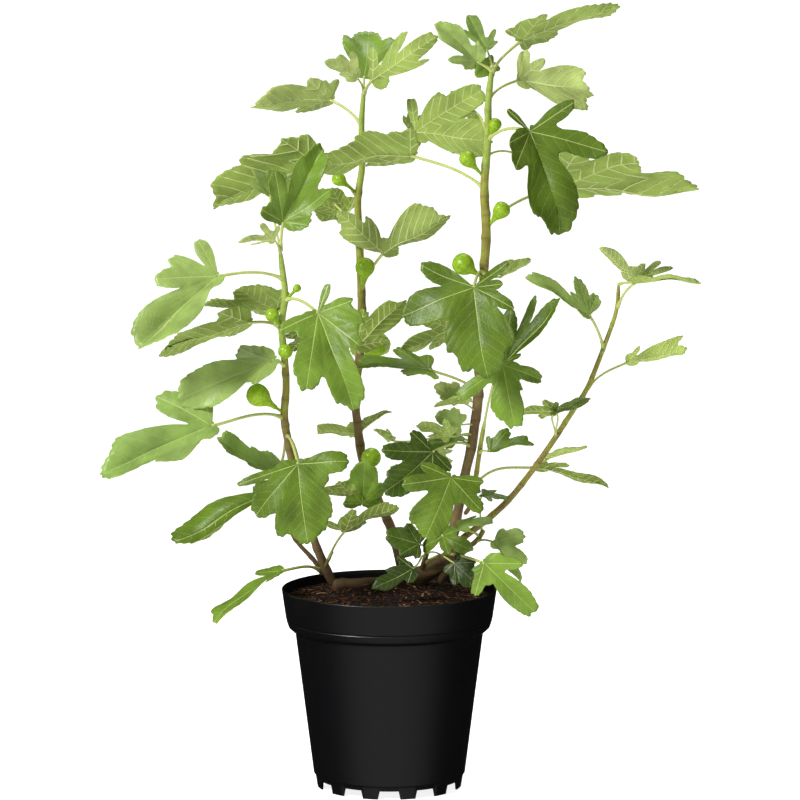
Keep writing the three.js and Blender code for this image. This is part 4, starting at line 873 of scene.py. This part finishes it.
def leaf_points(leaf, reach, angle, lift):
    """Points of the bent leaf, from distance and angle about the hub and height over the blade.

    The lobes are swept a little to one side, further towards their tips. The halves rise at the
    fold angle and turn down again as circular arcs, the blade rolls about its midrib in
    proportion to the distance along it, and the midrib curls away from the upper face.
    """
    along, across, normal = leaf_axes(leaf)
    lift = lift + leaf_relief(leaf, reach, angle)
    sweep = waves(np.random.default_rng(leaf["number"] + 900), (2,), (np.radians(angle),), 3)
    turned = np.radians(angle + LOBE_SWEEP * sweep * (reach / leaf["long"]) ** 1.5)
    x = reach * np.cos(turned)
    y = reach * np.sin(turned)
    droop = np.radians(LEAF_DROOP) / (DROOP_RUN * leaf["long"])
    fold = np.radians(leaf["fold"])
    slope = fold - droop * np.abs(y)
    side = np.where(y < 0, -1.0, 1.0)
    flat_y = side * ((np.sin(fold) - np.sin(slope)) / droop - lift * np.sin(slope))
    flat_z = (np.cos(slope) - np.cos(fold)) / droop + lift * np.cos(slope)
    roll = np.radians(leaf["roll"]) * x / leaf["long"]
    rolled_y = flat_y * np.cos(roll) + flat_z * np.sin(roll)
    rolled_z = flat_z * np.cos(roll) - flat_y * np.sin(roll)
    bend = np.radians(leaf["curl"] or 0.01) / leaf["long"]
    curled_x = np.sin(bend * x) / bend + rolled_z * np.sin(bend * x)
    curled_z = -(1 - np.cos(bend * x)) / bend + rolled_z * np.cos(bend * x)
    hub = np.array([leaf["x"], leaf["y"], leaf["z"]], float)
    return hub + curled_x[..., None] * along + rolled_y[..., None] * across + curled_z[..., None] * normal


def margin(leaf, count):
    """Angles and distances of points spaced evenly along the margin. Its rounded teeth are a sine
    wave folded at its middle, about its mean, and fade out in the bays between the lobes."""
    angle = np.linspace(-180, 180, 2881)
    reach = outline_reach(leaf, angle)
    seed = np.random.default_rng(leaf["number"] + 100)
    reach = reach * (1 + MARGIN_WAVE * waves(seed, (34,), (np.radians(angle),), 8))
    x = reach * np.cos(np.radians(angle)) * leaf["long"]
    y = reach * np.sin(np.radians(angle)) * leaf["long"]
    run = np.concatenate([[0], np.cumsum(np.hypot(np.diff(x), np.diff(y)))])
    pitch = TOOTH_PITCH * np.clip(leaf["long"] / 90, 0.5, 1.2)
    drift = 1.2 * waves(seed, (9,), (np.radians(angle),), 4)
    tooth = np.abs(np.sin(np.pi * run / pitch + drift)) - 0.64
    toothed = np.clip((reach - 0.3) / 0.2, 0, 1)
    depth = TOOTH_DEPTH * np.clip(leaf["long"] / 90, 0.4, 1.2)
    reach = reach * leaf["long"] + depth * tooth * toothed
    steps = np.arange(count) * run[-1] / count
    return np.interp(steps, run, angle), np.interp(steps, run, reach)


def blade(leaf):
    """One leaf blade as a thin closed shell: rings round the hub on the upper and the under face,
    a point at each hub, and a narrow edge between the outermost rings. Returns points, faces of
    the upper and of the under side, each point's place in the flat leaf, and its vein_net."""
    large = leaf["long"] > LARGE_LEAF
    count, rings = FINE_GRID if large else COARSE_GRID
    angle, reach = margin(leaf, count)
    share = (np.arange(1, rings + 1) / rings)[:, None] ** RING_CROWDING
    ring_angle = np.broadcast_to(angle, (rings, count))
    ring_reach = share * reach
    half = LEAF_THICKNESS / 2
    upper = leaf_points(leaf, ring_reach, ring_angle, half).reshape(-1, 3)
    under = leaf_points(leaf, ring_reach, ring_angle, -half).reshape(-1, 3)
    nil = np.zeros(1)
    hubs = [leaf_points(leaf, nil, nil, half), leaf_points(leaf, nil, nil, -half)]
    points = np.concatenate([upper, under, *hubs])
    size = rings * count
    walls = grid_faces(rings, count)
    first = np.arange(count)
    second = (first + 1) % count
    fan = np.stack([np.full(count, 2 * size), first, second], axis=1)
    fan_under = np.stack([np.full(count, 2 * size + 1), second + size, first + size], axis=1)
    outer = (rings - 1) * count
    edge = np.stack([outer + second, outer + first, size + outer + first, size + outer + second], axis=1)
    turn = np.radians(ring_angle)
    aside = PATTERN_STEP * leaf["number"]
    flat = np.stack([ring_reach * np.cos(turn), ring_reach * np.sin(turn), 0 * turn + aside], axis=-1)
    flat = flat.reshape(-1, 3)
    hub_place = np.array([[0, 0, aside]])
    place = MM * (1 if large else 2) * np.concatenate([flat, flat, hub_place, hub_place])
    net = np.stack(vein_net(leaf, ring_reach, ring_angle), axis=-1).reshape(-1, 3)
    net = np.concatenate([net, net, np.zeros((2, 3))])
    return points, [walls[:, ::-1], fan], [walls + size, fan_under, edge], place, net


# Fig leaf, above: a thin wax gives a soft shine that turns whitish where it faces the light.
# Beneath: short felt scatters the light. The net of finest veins has meshes of about a millimetre,
# and is drawn coarser so that it shows, as paler lines and a shallow relief, half as coarse on
# small leaves. Each leaf has one of these tints, young ones brighter, with a colour for each face.
# The tints also hold painted light and shade: leaves that lie in shadow have the darker tints and
# lit leaves the brighter ones, and the darkest tint is painted shadow, for leaves deep in shade low
# by the soil and at the back.
TINTS = {
    # The third tint on the next line, the darkest, is painted shadow for leaves deep in shade.
    "dark": ("#5a751b", "#8a9c4e"), "deep": ("#3f5614", "#788c38"), "old": ("#2a3d0a", "#5f7325"),
    "mid": ("#71902e", "#8ca24b"), "bright": ("#89a652", "#97ad54"), "fresh": ("#97b15d", "#a1b65a"),
    "pale": ("#8ea650", "#aabb6c"), "shade": ("#5e7a26", "#7e923c"),
}
WAX = {"vein_colour": "#b6c474", "roughness": 0.4, "shine": 0.32, "net_shows": 0.05,
       "side_veins_show": 0.2, "quilting": 0.45}
FELT = {"vein_colour": "#d0da98", "roughness": 0.75, "shine": 0.12, "net_shows": 0.12,
        "side_veins_show": 0.58, "quilting": 0.1}
NET_MESH = 3.4
TONE_SIZE = 26  # of the lighter and darker blotches


def leaf_skin(name, colour, vein_colour, roughness, shine, net_shows, side_veins_show, quilting):
    """One leaf skin: blotches a few centimetres wide, the net of finest veins, and over it the side
    veins and main veins. The mark leaf_place gives a point's place in the flat leaf, and leaf_net
    its vein_net: a side vein runs wherever the first number is whole, give or take what the
    blotches add, and a main vein where the second is under about 1."""
    skin, shader = add_material(name, Base_Color=linear(colour), Roughness=roughness,
                                Specular_IOR_Level=shine)
    place = add_node(skin, "ShaderNodeAttribute", {}, attribute_name="leaf_place")
    blotches = add_node(skin, "ShaderNodeTexNoise", {
        "Vector": place.outputs["Vector"], "Scale": 1 / (TONE_SIZE * MM), "Detail": 3.0})
    net = add_node(skin, "ShaderNodeTexVoronoi", {
        "Vector": place.outputs["Vector"], "Scale": 1 / (NET_MESH * MM)}, feature="DISTANCE_TO_EDGE")
    net_line = add_node(skin, "ShaderNodeMapRange", {
        "Value": net.outputs[0], "From Min": 0.0, "From Max": 0.13, "To Min": net_shows, "To Max": 0.0})
    tone = add_node(skin, "ShaderNodeMapRange", {
        "Value": blotches.outputs[0], "From Min": 0.3, "From Max": 0.7, "To Min": 0.74, "To Max": 1.22})
    toned = add_node(skin, "ShaderNodeMix", {
        "Factor": 1.0, "A": linear(colour), "B": tone.outputs["Result"]},
        data_type="RGBA", blend_type="MULTIPLY")
    netted = add_node(skin, "ShaderNodeMix", {
        "Factor": net_line.outputs["Result"], "A": toned.outputs[2], "B": linear(vein_colour)},
        data_type="RGBA")
    among = add_node(skin, "ShaderNodeAttribute", {}, attribute_name="leaf_net")
    parts = add_node(skin, "ShaderNodeSeparateXYZ", {"Vector": among.outputs["Vector"]})
    strayed = add_node(skin, "ShaderNodeMath", {
        0: blotches.outputs[0], 1: 0.7, 2: parts.outputs["X"]}, operation="MULTIPLY_ADD")
    centred = add_node(skin, "ShaderNodeMath", {0: strayed.outputs[0], 1: 0.35}, operation="SUBTRACT")
    off_side = add_node(skin, "ShaderNodeMath", {0: centred.outputs[0], 1: 0.5}, operation="PINGPONG")
    side_line = add_node(skin, "ShaderNodeMapRange", {
        "Value": off_side.outputs[0], "From Min": 0.01, "From Max": 0.055,
        "To Min": side_veins_show, "To Max": 0.0})
    off_main = add_node(skin, "ShaderNodeMath", {0: parts.outputs["Y"]}, operation="ABSOLUTE")
    main_line = add_node(skin, "ShaderNodeMapRange", {
        "Value": off_main.outputs[0], "From Min": 0.55, "From Max": 1.05, "To Min": 1.0, "To Max": 0.0})
    any_line = add_node(skin, "ShaderNodeMath", {
        0: side_line.outputs["Result"], 1: main_line.outputs["Result"]}, operation="MAXIMUM")
    clear_line = add_node(skin, "ShaderNodeMath", {
        0: any_line.outputs[0], 1: parts.outputs["Z"]}, operation="MULTIPLY")
    veined = add_node(skin, "ShaderNodeMix", {
        "Factor": clear_line.outputs[0], "A": netted.outputs[2], "B": linear(vein_colour)},
        data_type="RGBA")
    link_to(skin, shader, "Base Color", veined.outputs[2])
    quilt = add_node(skin, "ShaderNodeBump", {
        "Height": net.outputs[0], "Strength": quilting, "Distance": 0.6 * MM})
    link_to(skin, shader, "Normal", quilt.outputs["Normal"])
    return skin


leaf_skins = []
for tint, (above, beneath) in TINTS.items():
    leaf_skins.append(leaf_skin(f"waxy_leaf_top_{tint}", above, **WAX))
    leaf_skins.append(leaf_skin(f"felted_underside_{tint}", beneath, **FELT))

leaf_count = 0
crowns = {}
for crown, rows in LEAVES.items():
    crowns[crown] = []
    for row in rows:
        leaf_count += 1
        crowns[crown].append({**dict(zip(LEAF_COLUMNS, row)), "number": leaf_count})

for crown, leaves in crowns.items():
    shapes, slots, places, nets = [], [], [], []
    for leaf in leaves:
        points, above, beneath, place, net = blade(leaf)
        shapes.append((points, above + beneath))
        skin = 2 * list(TINTS).index(leaf["tint"])
        slots += [skin] * len(above) + [skin + 1] * len(beneath)
        places.append(place)
        nets.append(net)
    points, faces = joined(shapes)
    blades = add_piece(f"{crown}_blades", points, faces, leaf_skins, slots,
                       {"leaf_place": np.concatenate(places), "leaf_net": np.concatenate(nets)})
    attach(blades, "root")
    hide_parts(crown)

# ---- Leaf veins --------------------------------------------------------------------------------
# Ribs that are part of the blade: a main vein along each lobe and side veins between them, each
# thinner towards its end. They are bars sunk in the blade, so that they stand out beneath it and
# hardly rise above it.
VEIN_SIDES = 4
MAIN_VEIN_SUNK = 0.08
MAIN_VEIN_RADII = (0.7, 0.26)  # at the hub and at the tip, on a leaf 100 long
SIDE_VEIN_SUNK = 0.16
SIDE_VEIN_RADII = (0.52, 0.32)
VEIN_STOP = 0.93  # veins stop at this share of the way to the margin
SHORTEST_SIDE_VEIN = 0.035  # across from the main vein, of the leaf's length


def side_veins(leaf):
    """Side veins in flat leaf coordinates, as arrays of distance and angle about the hub. They
    start along each main vein on both sides and stop short of the margin or of the line halfway
    to the next main vein."""
    lobes = main_lobes(leaf)
    spacing = side_vein_spacing(leaf)
    runs = []
    for i, (middle, length, _) in enumerate(lobes):
        roots = np.arange(spacing * FIRST_VEIN, length * leaf["long"] * VEIN_STOP, spacing)[:, None]
        across = np.linspace(0, 0.6 * leaf["long"], 61)[None]
        along = roots + side_vein_run(leaf, across)
        for side in (-1, 1):
            angle = middle + side * np.degrees(np.arctan2(across, along))
            reach = np.hypot(across, along)
            inside = reach < VEIN_STOP * leaf["long"] * outline_reach(leaf, angle)
            own = np.abs(angle[..., None] - lobes[:, 0]).argmin(-1) == i
            kept = np.minimum.accumulate(inside & own, axis=1).sum(1)
            end = across[0][np.maximum(kept - 1, 0)]
            chosen = end > SHORTEST_SIDE_VEIN * leaf["long"]
            if chosen.any():
                far = end[chosen][:, None] * np.linspace(0, 1, 7)[None]
                onward = roots[chosen] + side_vein_run(leaf, far)
                runs.append((np.hypot(far, onward), middle + side * np.degrees(np.arctan2(far, onward))))
    return [np.concatenate(part) for part in zip(*runs)]


def veins(leaf):
    """The bars of a leaf's main veins and of its side veins."""
    lobes = main_lobes(leaf)
    size = np.clip(leaf["long"] / 100, 0.45, 1.25)
    normal = leaf_axes(leaf)[2]
    t = np.linspace(0.01, 0.97, 15)[None]
    reach = lobes[:, 1:2] * leaf["long"] * t
    main = leaf_points(leaf, reach, np.broadcast_to(lobes[:, :1], reach.shape), -MAIN_VEIN_SUNK)
    at_hub, at_tip = MAIN_VEIN_RADII
    main_radii = size * (at_tip + (at_hub - at_tip) * (1 - t)) * np.sqrt(lobes[:, 1:2])
    reach, angle = side_veins(leaf)
    side = leaf_points(leaf, reach, angle, -SIDE_VEIN_SUNK)
    side_radii = np.broadcast_to(size * np.linspace(*SIDE_VEIN_RADII, reach.shape[1]), reach.shape)
    return [bars(main, main_radii, VEIN_SIDES, normal), bars(side, side_radii, VEIN_SIDES, normal)]


# Vein tissue: cream beneath the leaf, and green above it, where the blade's own skin runs over it.
vein_skins = [add_material("leaf_vein_beneath", Base_Color=linear("#d0da94"), Roughness=0.6)[0],
              add_material("leaf_vein_above", Base_Color=linear("#c0ce78"), Roughness=0.5)[0]]

for crown, leaves in crowns.items():
    shapes = [shape for leaf in leaves for shape in veins(leaf)]
    points, faces = joined(shapes)
    slots = []
    for _, (walls, _, _) in shapes:
        slots += [walls[:, 0] % VEIN_SIDES < VEIN_SIDES // 2, 0, 0]  # the upper walls, the two ends
    crown_veins = add_piece(f"{crown}_veins", points, faces, vein_skins, slots)
    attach(crown_veins, "root")
    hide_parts(crown)

# ---- Leaf stalks -------------------------------------------------------------------------------
# Round stalks that hold the blades out into the light: each leaves its stem rising, is swollen
# where it sits on it, and turns into the midrib at the hub.
STALK_SIDES = 9
STALK_STATIONS = 22
STALK_RISE = 0.5  # how much it first turns up from the straight line to the hub
STALK_TURN = 0.5  # and how much it turns into the midrib at its end
STALK_SEAT = 7  # length of the swollen foot
STALK_RADII = (0.95, 1.75)  # on leaves of the next two lengths
STALK_LENGTHS = (30, 90)
# The stem that each mass's stalks leave.
CROWN_STEMS = {
    "left_crown": "left", "centre_left_crown": "centre_left", "centre_right_crown": "centre_right",
    "right_crown": "right", "side_shoot": "side", "low_left_shoot": "thin",
    "low_inner_shoot": "inner", "front_sucker": "front", "right_sucker": "knot",
}


def stalk(leaf, stem):
    """A leaf's stalk as a cubic curve from the stem's middle to the hub. Its thickness falls from
    the foot as a bell curve and grows again a little just before the hub."""
    start = stem_at(stem, leaf["out"])
    hub = np.array([leaf["x"], leaf["y"], leaf["z"]], float)
    reach = np.linalg.norm(hub - start)
    toward = (hub - start) / reach
    rise = toward + (0, 0, STALK_RISE)
    rise /= np.linalg.norm(rise)
    arrive = toward + STALK_TURN * leaf_axes(leaf)[0]
    arrive /= np.linalg.norm(arrive)
    first, second = start + 0.35 * reach * rise, hub - 0.3 * reach * arrive
    t = np.linspace(0, 1, STALK_STATIONS)[:, None]
    line = (1 - t) ** 3 * start + 3 * t * (1 - t) ** 2 * first + 3 * t ** 2 * (1 - t) * second + t ** 3 * hub
    size = np.interp(leaf["long"], STALK_LENGTHS, STALK_RADII)
    radii = size * (0.86 + 0.75 * np.exp(-(t[:, 0] * reach / STALK_SEAT) ** 2) + 0.14 * t[:, 0] ** 4)
    beside = np.cross(toward, (0.3, -0.9, 0.2))
    return bars(line[None], radii[None], STALK_SIDES, beside)


# Stalk skin: smooth and slightly shiny, full of pale sap that makes it lighter than the blade.
stalk_skin = add_material("leaf_stalk", Base_Color=linear("#bcc672"), Roughness=0.42)[0]

for crown, leaves in crowns.items():
    points, faces = joined([stalk(leaf, CROWN_STEMS[crown]) for leaf in leaves])
    stalks = add_piece(f"{crown}_stalks", points, faces, [stalk_skin])
    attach(stalks, "root")
    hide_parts(crown)

# ---- Young figs --------------------------------------------------------------------------------
# Unripe figs, pear-shaped and glossy green, each on a short neck in the angle of a leaf, with
# shallow ribs and a small closed eye at the end. Each row: height on the stem, middle, radius.
FIGS = {
    "left_crown": [
        [389, -133, -35, 410, 11.5], [452, -105, -38, 455, 7.5], [506, -93, -34, 519, 4],
        [478, -118, -38, 492, 7]],
    "centre_left_crown": [
        [606, -52, 55, 622, 7], [505, -25, 45, 532, 10], [332, -19, 35, 336, 10],
        [436, -12, 50, 447, 8], [655, -15, 62, 664, 5]],
    "centre_right_crown": [
        [525, 75, -22, 542, 11], [577, 114, -10, 596, 8.5], [628, 79, -12, 648, 8],
        [664, 107, -14, 683, 6.5]],
}
# Distance along the fig from its middle, and half width there, both of its radius.
FIG_PROFILE = np.array([
    (-2.3, 0.20), (-2.0, 0.22), (-1.7, 0.27), (-1.4, 0.36), (-1.1, 0.52), (-0.8, 0.72), (-0.5, 0.87),
    (-0.2, 0.96), (0.1, 1.0), (0.35, 0.97), (0.58, 0.86), (0.76, 0.68), (0.88, 0.48), (0.95, 0.26),
    (0.97, 0.14), (1.02, 0.1), (1.03, 0.03)])
FIG_SIDES = 32
FIG_RIBS = 9
RIB_HEIGHT = 0.018  # of the fig's radius
NECK_RADIUS = 1.5
NECK_SIDES = 10
SPECK = 3

# Fig skin: taut and waxy, bright green with soft paler specks.
fig_skin, shader = add_material("fig_skin", Base_Color=linear("#8fb61c"), Roughness=0.3, IOR=1.45)
place = add_node(fig_skin, "ShaderNodeTexCoord", {})
specks = add_node(fig_skin, "ShaderNodeTexNoise", {
    "Vector": place.outputs["Object"], "Scale": 1 / (SPECK * MM), "Detail": 2.0})
fig_colour = colour_ramp(fig_skin, specks.outputs[0], [(0.35, "#82a814"), (0.7, "#a3c637")])
link_to(fig_skin, shader, "Base Color", fig_colour)

for crown, rows in FIGS.items():
    rows = np.array(rows, float)
    start = stem_at(CROWN_STEMS[crown], rows[:, 0])
    middle, radius = rows[:, 1:4], rows[:, 4]
    away = middle - start
    away /= np.linalg.norm(away, axis=1, keepdims=True)
    lines = middle[:, None] + FIG_PROFILE[:, 0][None, :, None] * (radius[:, None] * away)[:, None]
    turn = np.arange(FIG_SIDES) * 2 * np.pi / FIG_SIDES
    ribs = 1 + RIB_HEIGHT * np.cos(FIG_RIBS * turn)
    radii = radius[:, None, None] * FIG_PROFILE[:, 1][None, :, None] * ribs
    beside = (0.1, 1, 0.05)
    fruits = bars(lines, radii, FIG_SIDES, beside)
    neck_lines = np.stack([start, middle], axis=1)
    necks = bars(neck_lines, np.full((len(rows), 2), NECK_RADIUS), NECK_SIDES, beside)
    points, faces = joined([fruits, necks])
    figs = add_piece(f"{crown}_figs", points, faces, [fig_skin])
    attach(figs, "root")
    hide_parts(crown)

# ---- Floor, light and camera -------------------------------------------------------------------
# A seamless white studio sheet, soft lamps in front and above, and a long lens a little above the
# plant, which looks slightly down on it. Lengths here are in metres.
FLOOR_CORNERS = [(-2, -1.2, 0), (2, -1.2, 0), (2, 1.6, 0), (-2, 1.6, 0)]
LAMPS = {  # place, size across, power in watts
    "key": ((-2.1, -1.9, 2.3), 0.8, 104),
    "fill": ((1.4, -3.6, 1.0), 1.4, 12),
    "top": ((0.3, 0.8, 2.6), 1.4, 28),
}
AIM = np.array([0, 0, 0.42])  # where the lamps point
WHITE_SEEN = 1.2  # strength of the white surroundings as the camera sees them
WHITE_LIGHT = 0.2  # as they light matt surfaces
WHITE_SHINE = (0.01, 0.42)  # and as glossy ones reflect them, behind the plant and in front of it

# White paper that glows a little, so that the sheet stays white around the plant's shadow.
paper, shader = add_material("white_paper", Base_Color=linear("#f7f7f7"), Roughness=0.9,
                             Emission_Color=linear("#ffffff"), Emission_Strength=0.85)
floor_mesh = bpy.data.meshes.new("floor")
floor_mesh.from_pydata(FLOOR_CORNERS, [], [(0, 1, 2, 3)])
floor_mesh.materials.append(paper)
floor = bpy.data.objects.new("floor", floor_mesh)
bpy.context.scene.collection.objects.link(floor)
floor.visible_glossy = False

world = bpy.data.worlds.new("studio")
bpy.context.scene.world = world
world.use_nodes = True
ray = add_node(world, "ShaderNodeLightPath", {})
strength = add_node(world, "ShaderNodeMapRange", {
    "Value": ray.outputs["Is Camera Ray"], "To Min": WHITE_LIGHT, "To Max": WHITE_SEEN})
heading = add_node(world, "ShaderNodeTexCoord", {})
sides = add_node(world, "ShaderNodeSeparateXYZ", {"Vector": heading.outputs["Generated"]})
shine = add_node(world, "ShaderNodeMapRange", {
    "Value": sides.outputs["Y"], "From Min": -0.1, "From Max": -0.9,
    "To Min": WHITE_SHINE[0], "To Max": WHITE_SHINE[1]}, interpolation_type="SMOOTHSTEP")
chosen = add_node(world, "ShaderNodeMix", {
    "Factor": ray.outputs["Is Glossy Ray"], "A": strength.outputs["Result"], "B": shine.outputs["Result"]})
white = world.node_tree.nodes["Background"]
white.inputs["Color"].default_value = linear("#ffffff")
link_to(world, white, "Strength", chosen.outputs["Result"])

for name, (spot, size, power) in LAMPS.items():
    lamp = bpy.data.lights.new(name, "AREA")
    lamp.shape = "DISK"
    lamp.size = size
    lamp.energy = power
    holder = bpy.data.objects.new(name, lamp)
    bpy.context.scene.collection.objects.link(holder)
    holder.location = spot
    x, y, z = AIM - spot
    holder.rotation_euler = (np.arctan2(np.hypot(x, y), -z), 0, np.arctan2(-x, y))
    holder.visible_glossy = name != "fill"

camera = bpy.data.objects.new("camera", bpy.data.cameras.new("camera"))
bpy.context.scene.collection.objects.link(camera)
camera.data.lens = 200
camera.data.sensor_width = 36
camera.data.clip_end = 100
camera.location = (0.011, -4.5, 1.0)
camera.rotation_euler = (np.radians(82.41), 0, 0)
bpy.context.scene.camera = camera
bpy.context.scene.view_settings.view_transform = "Standard"
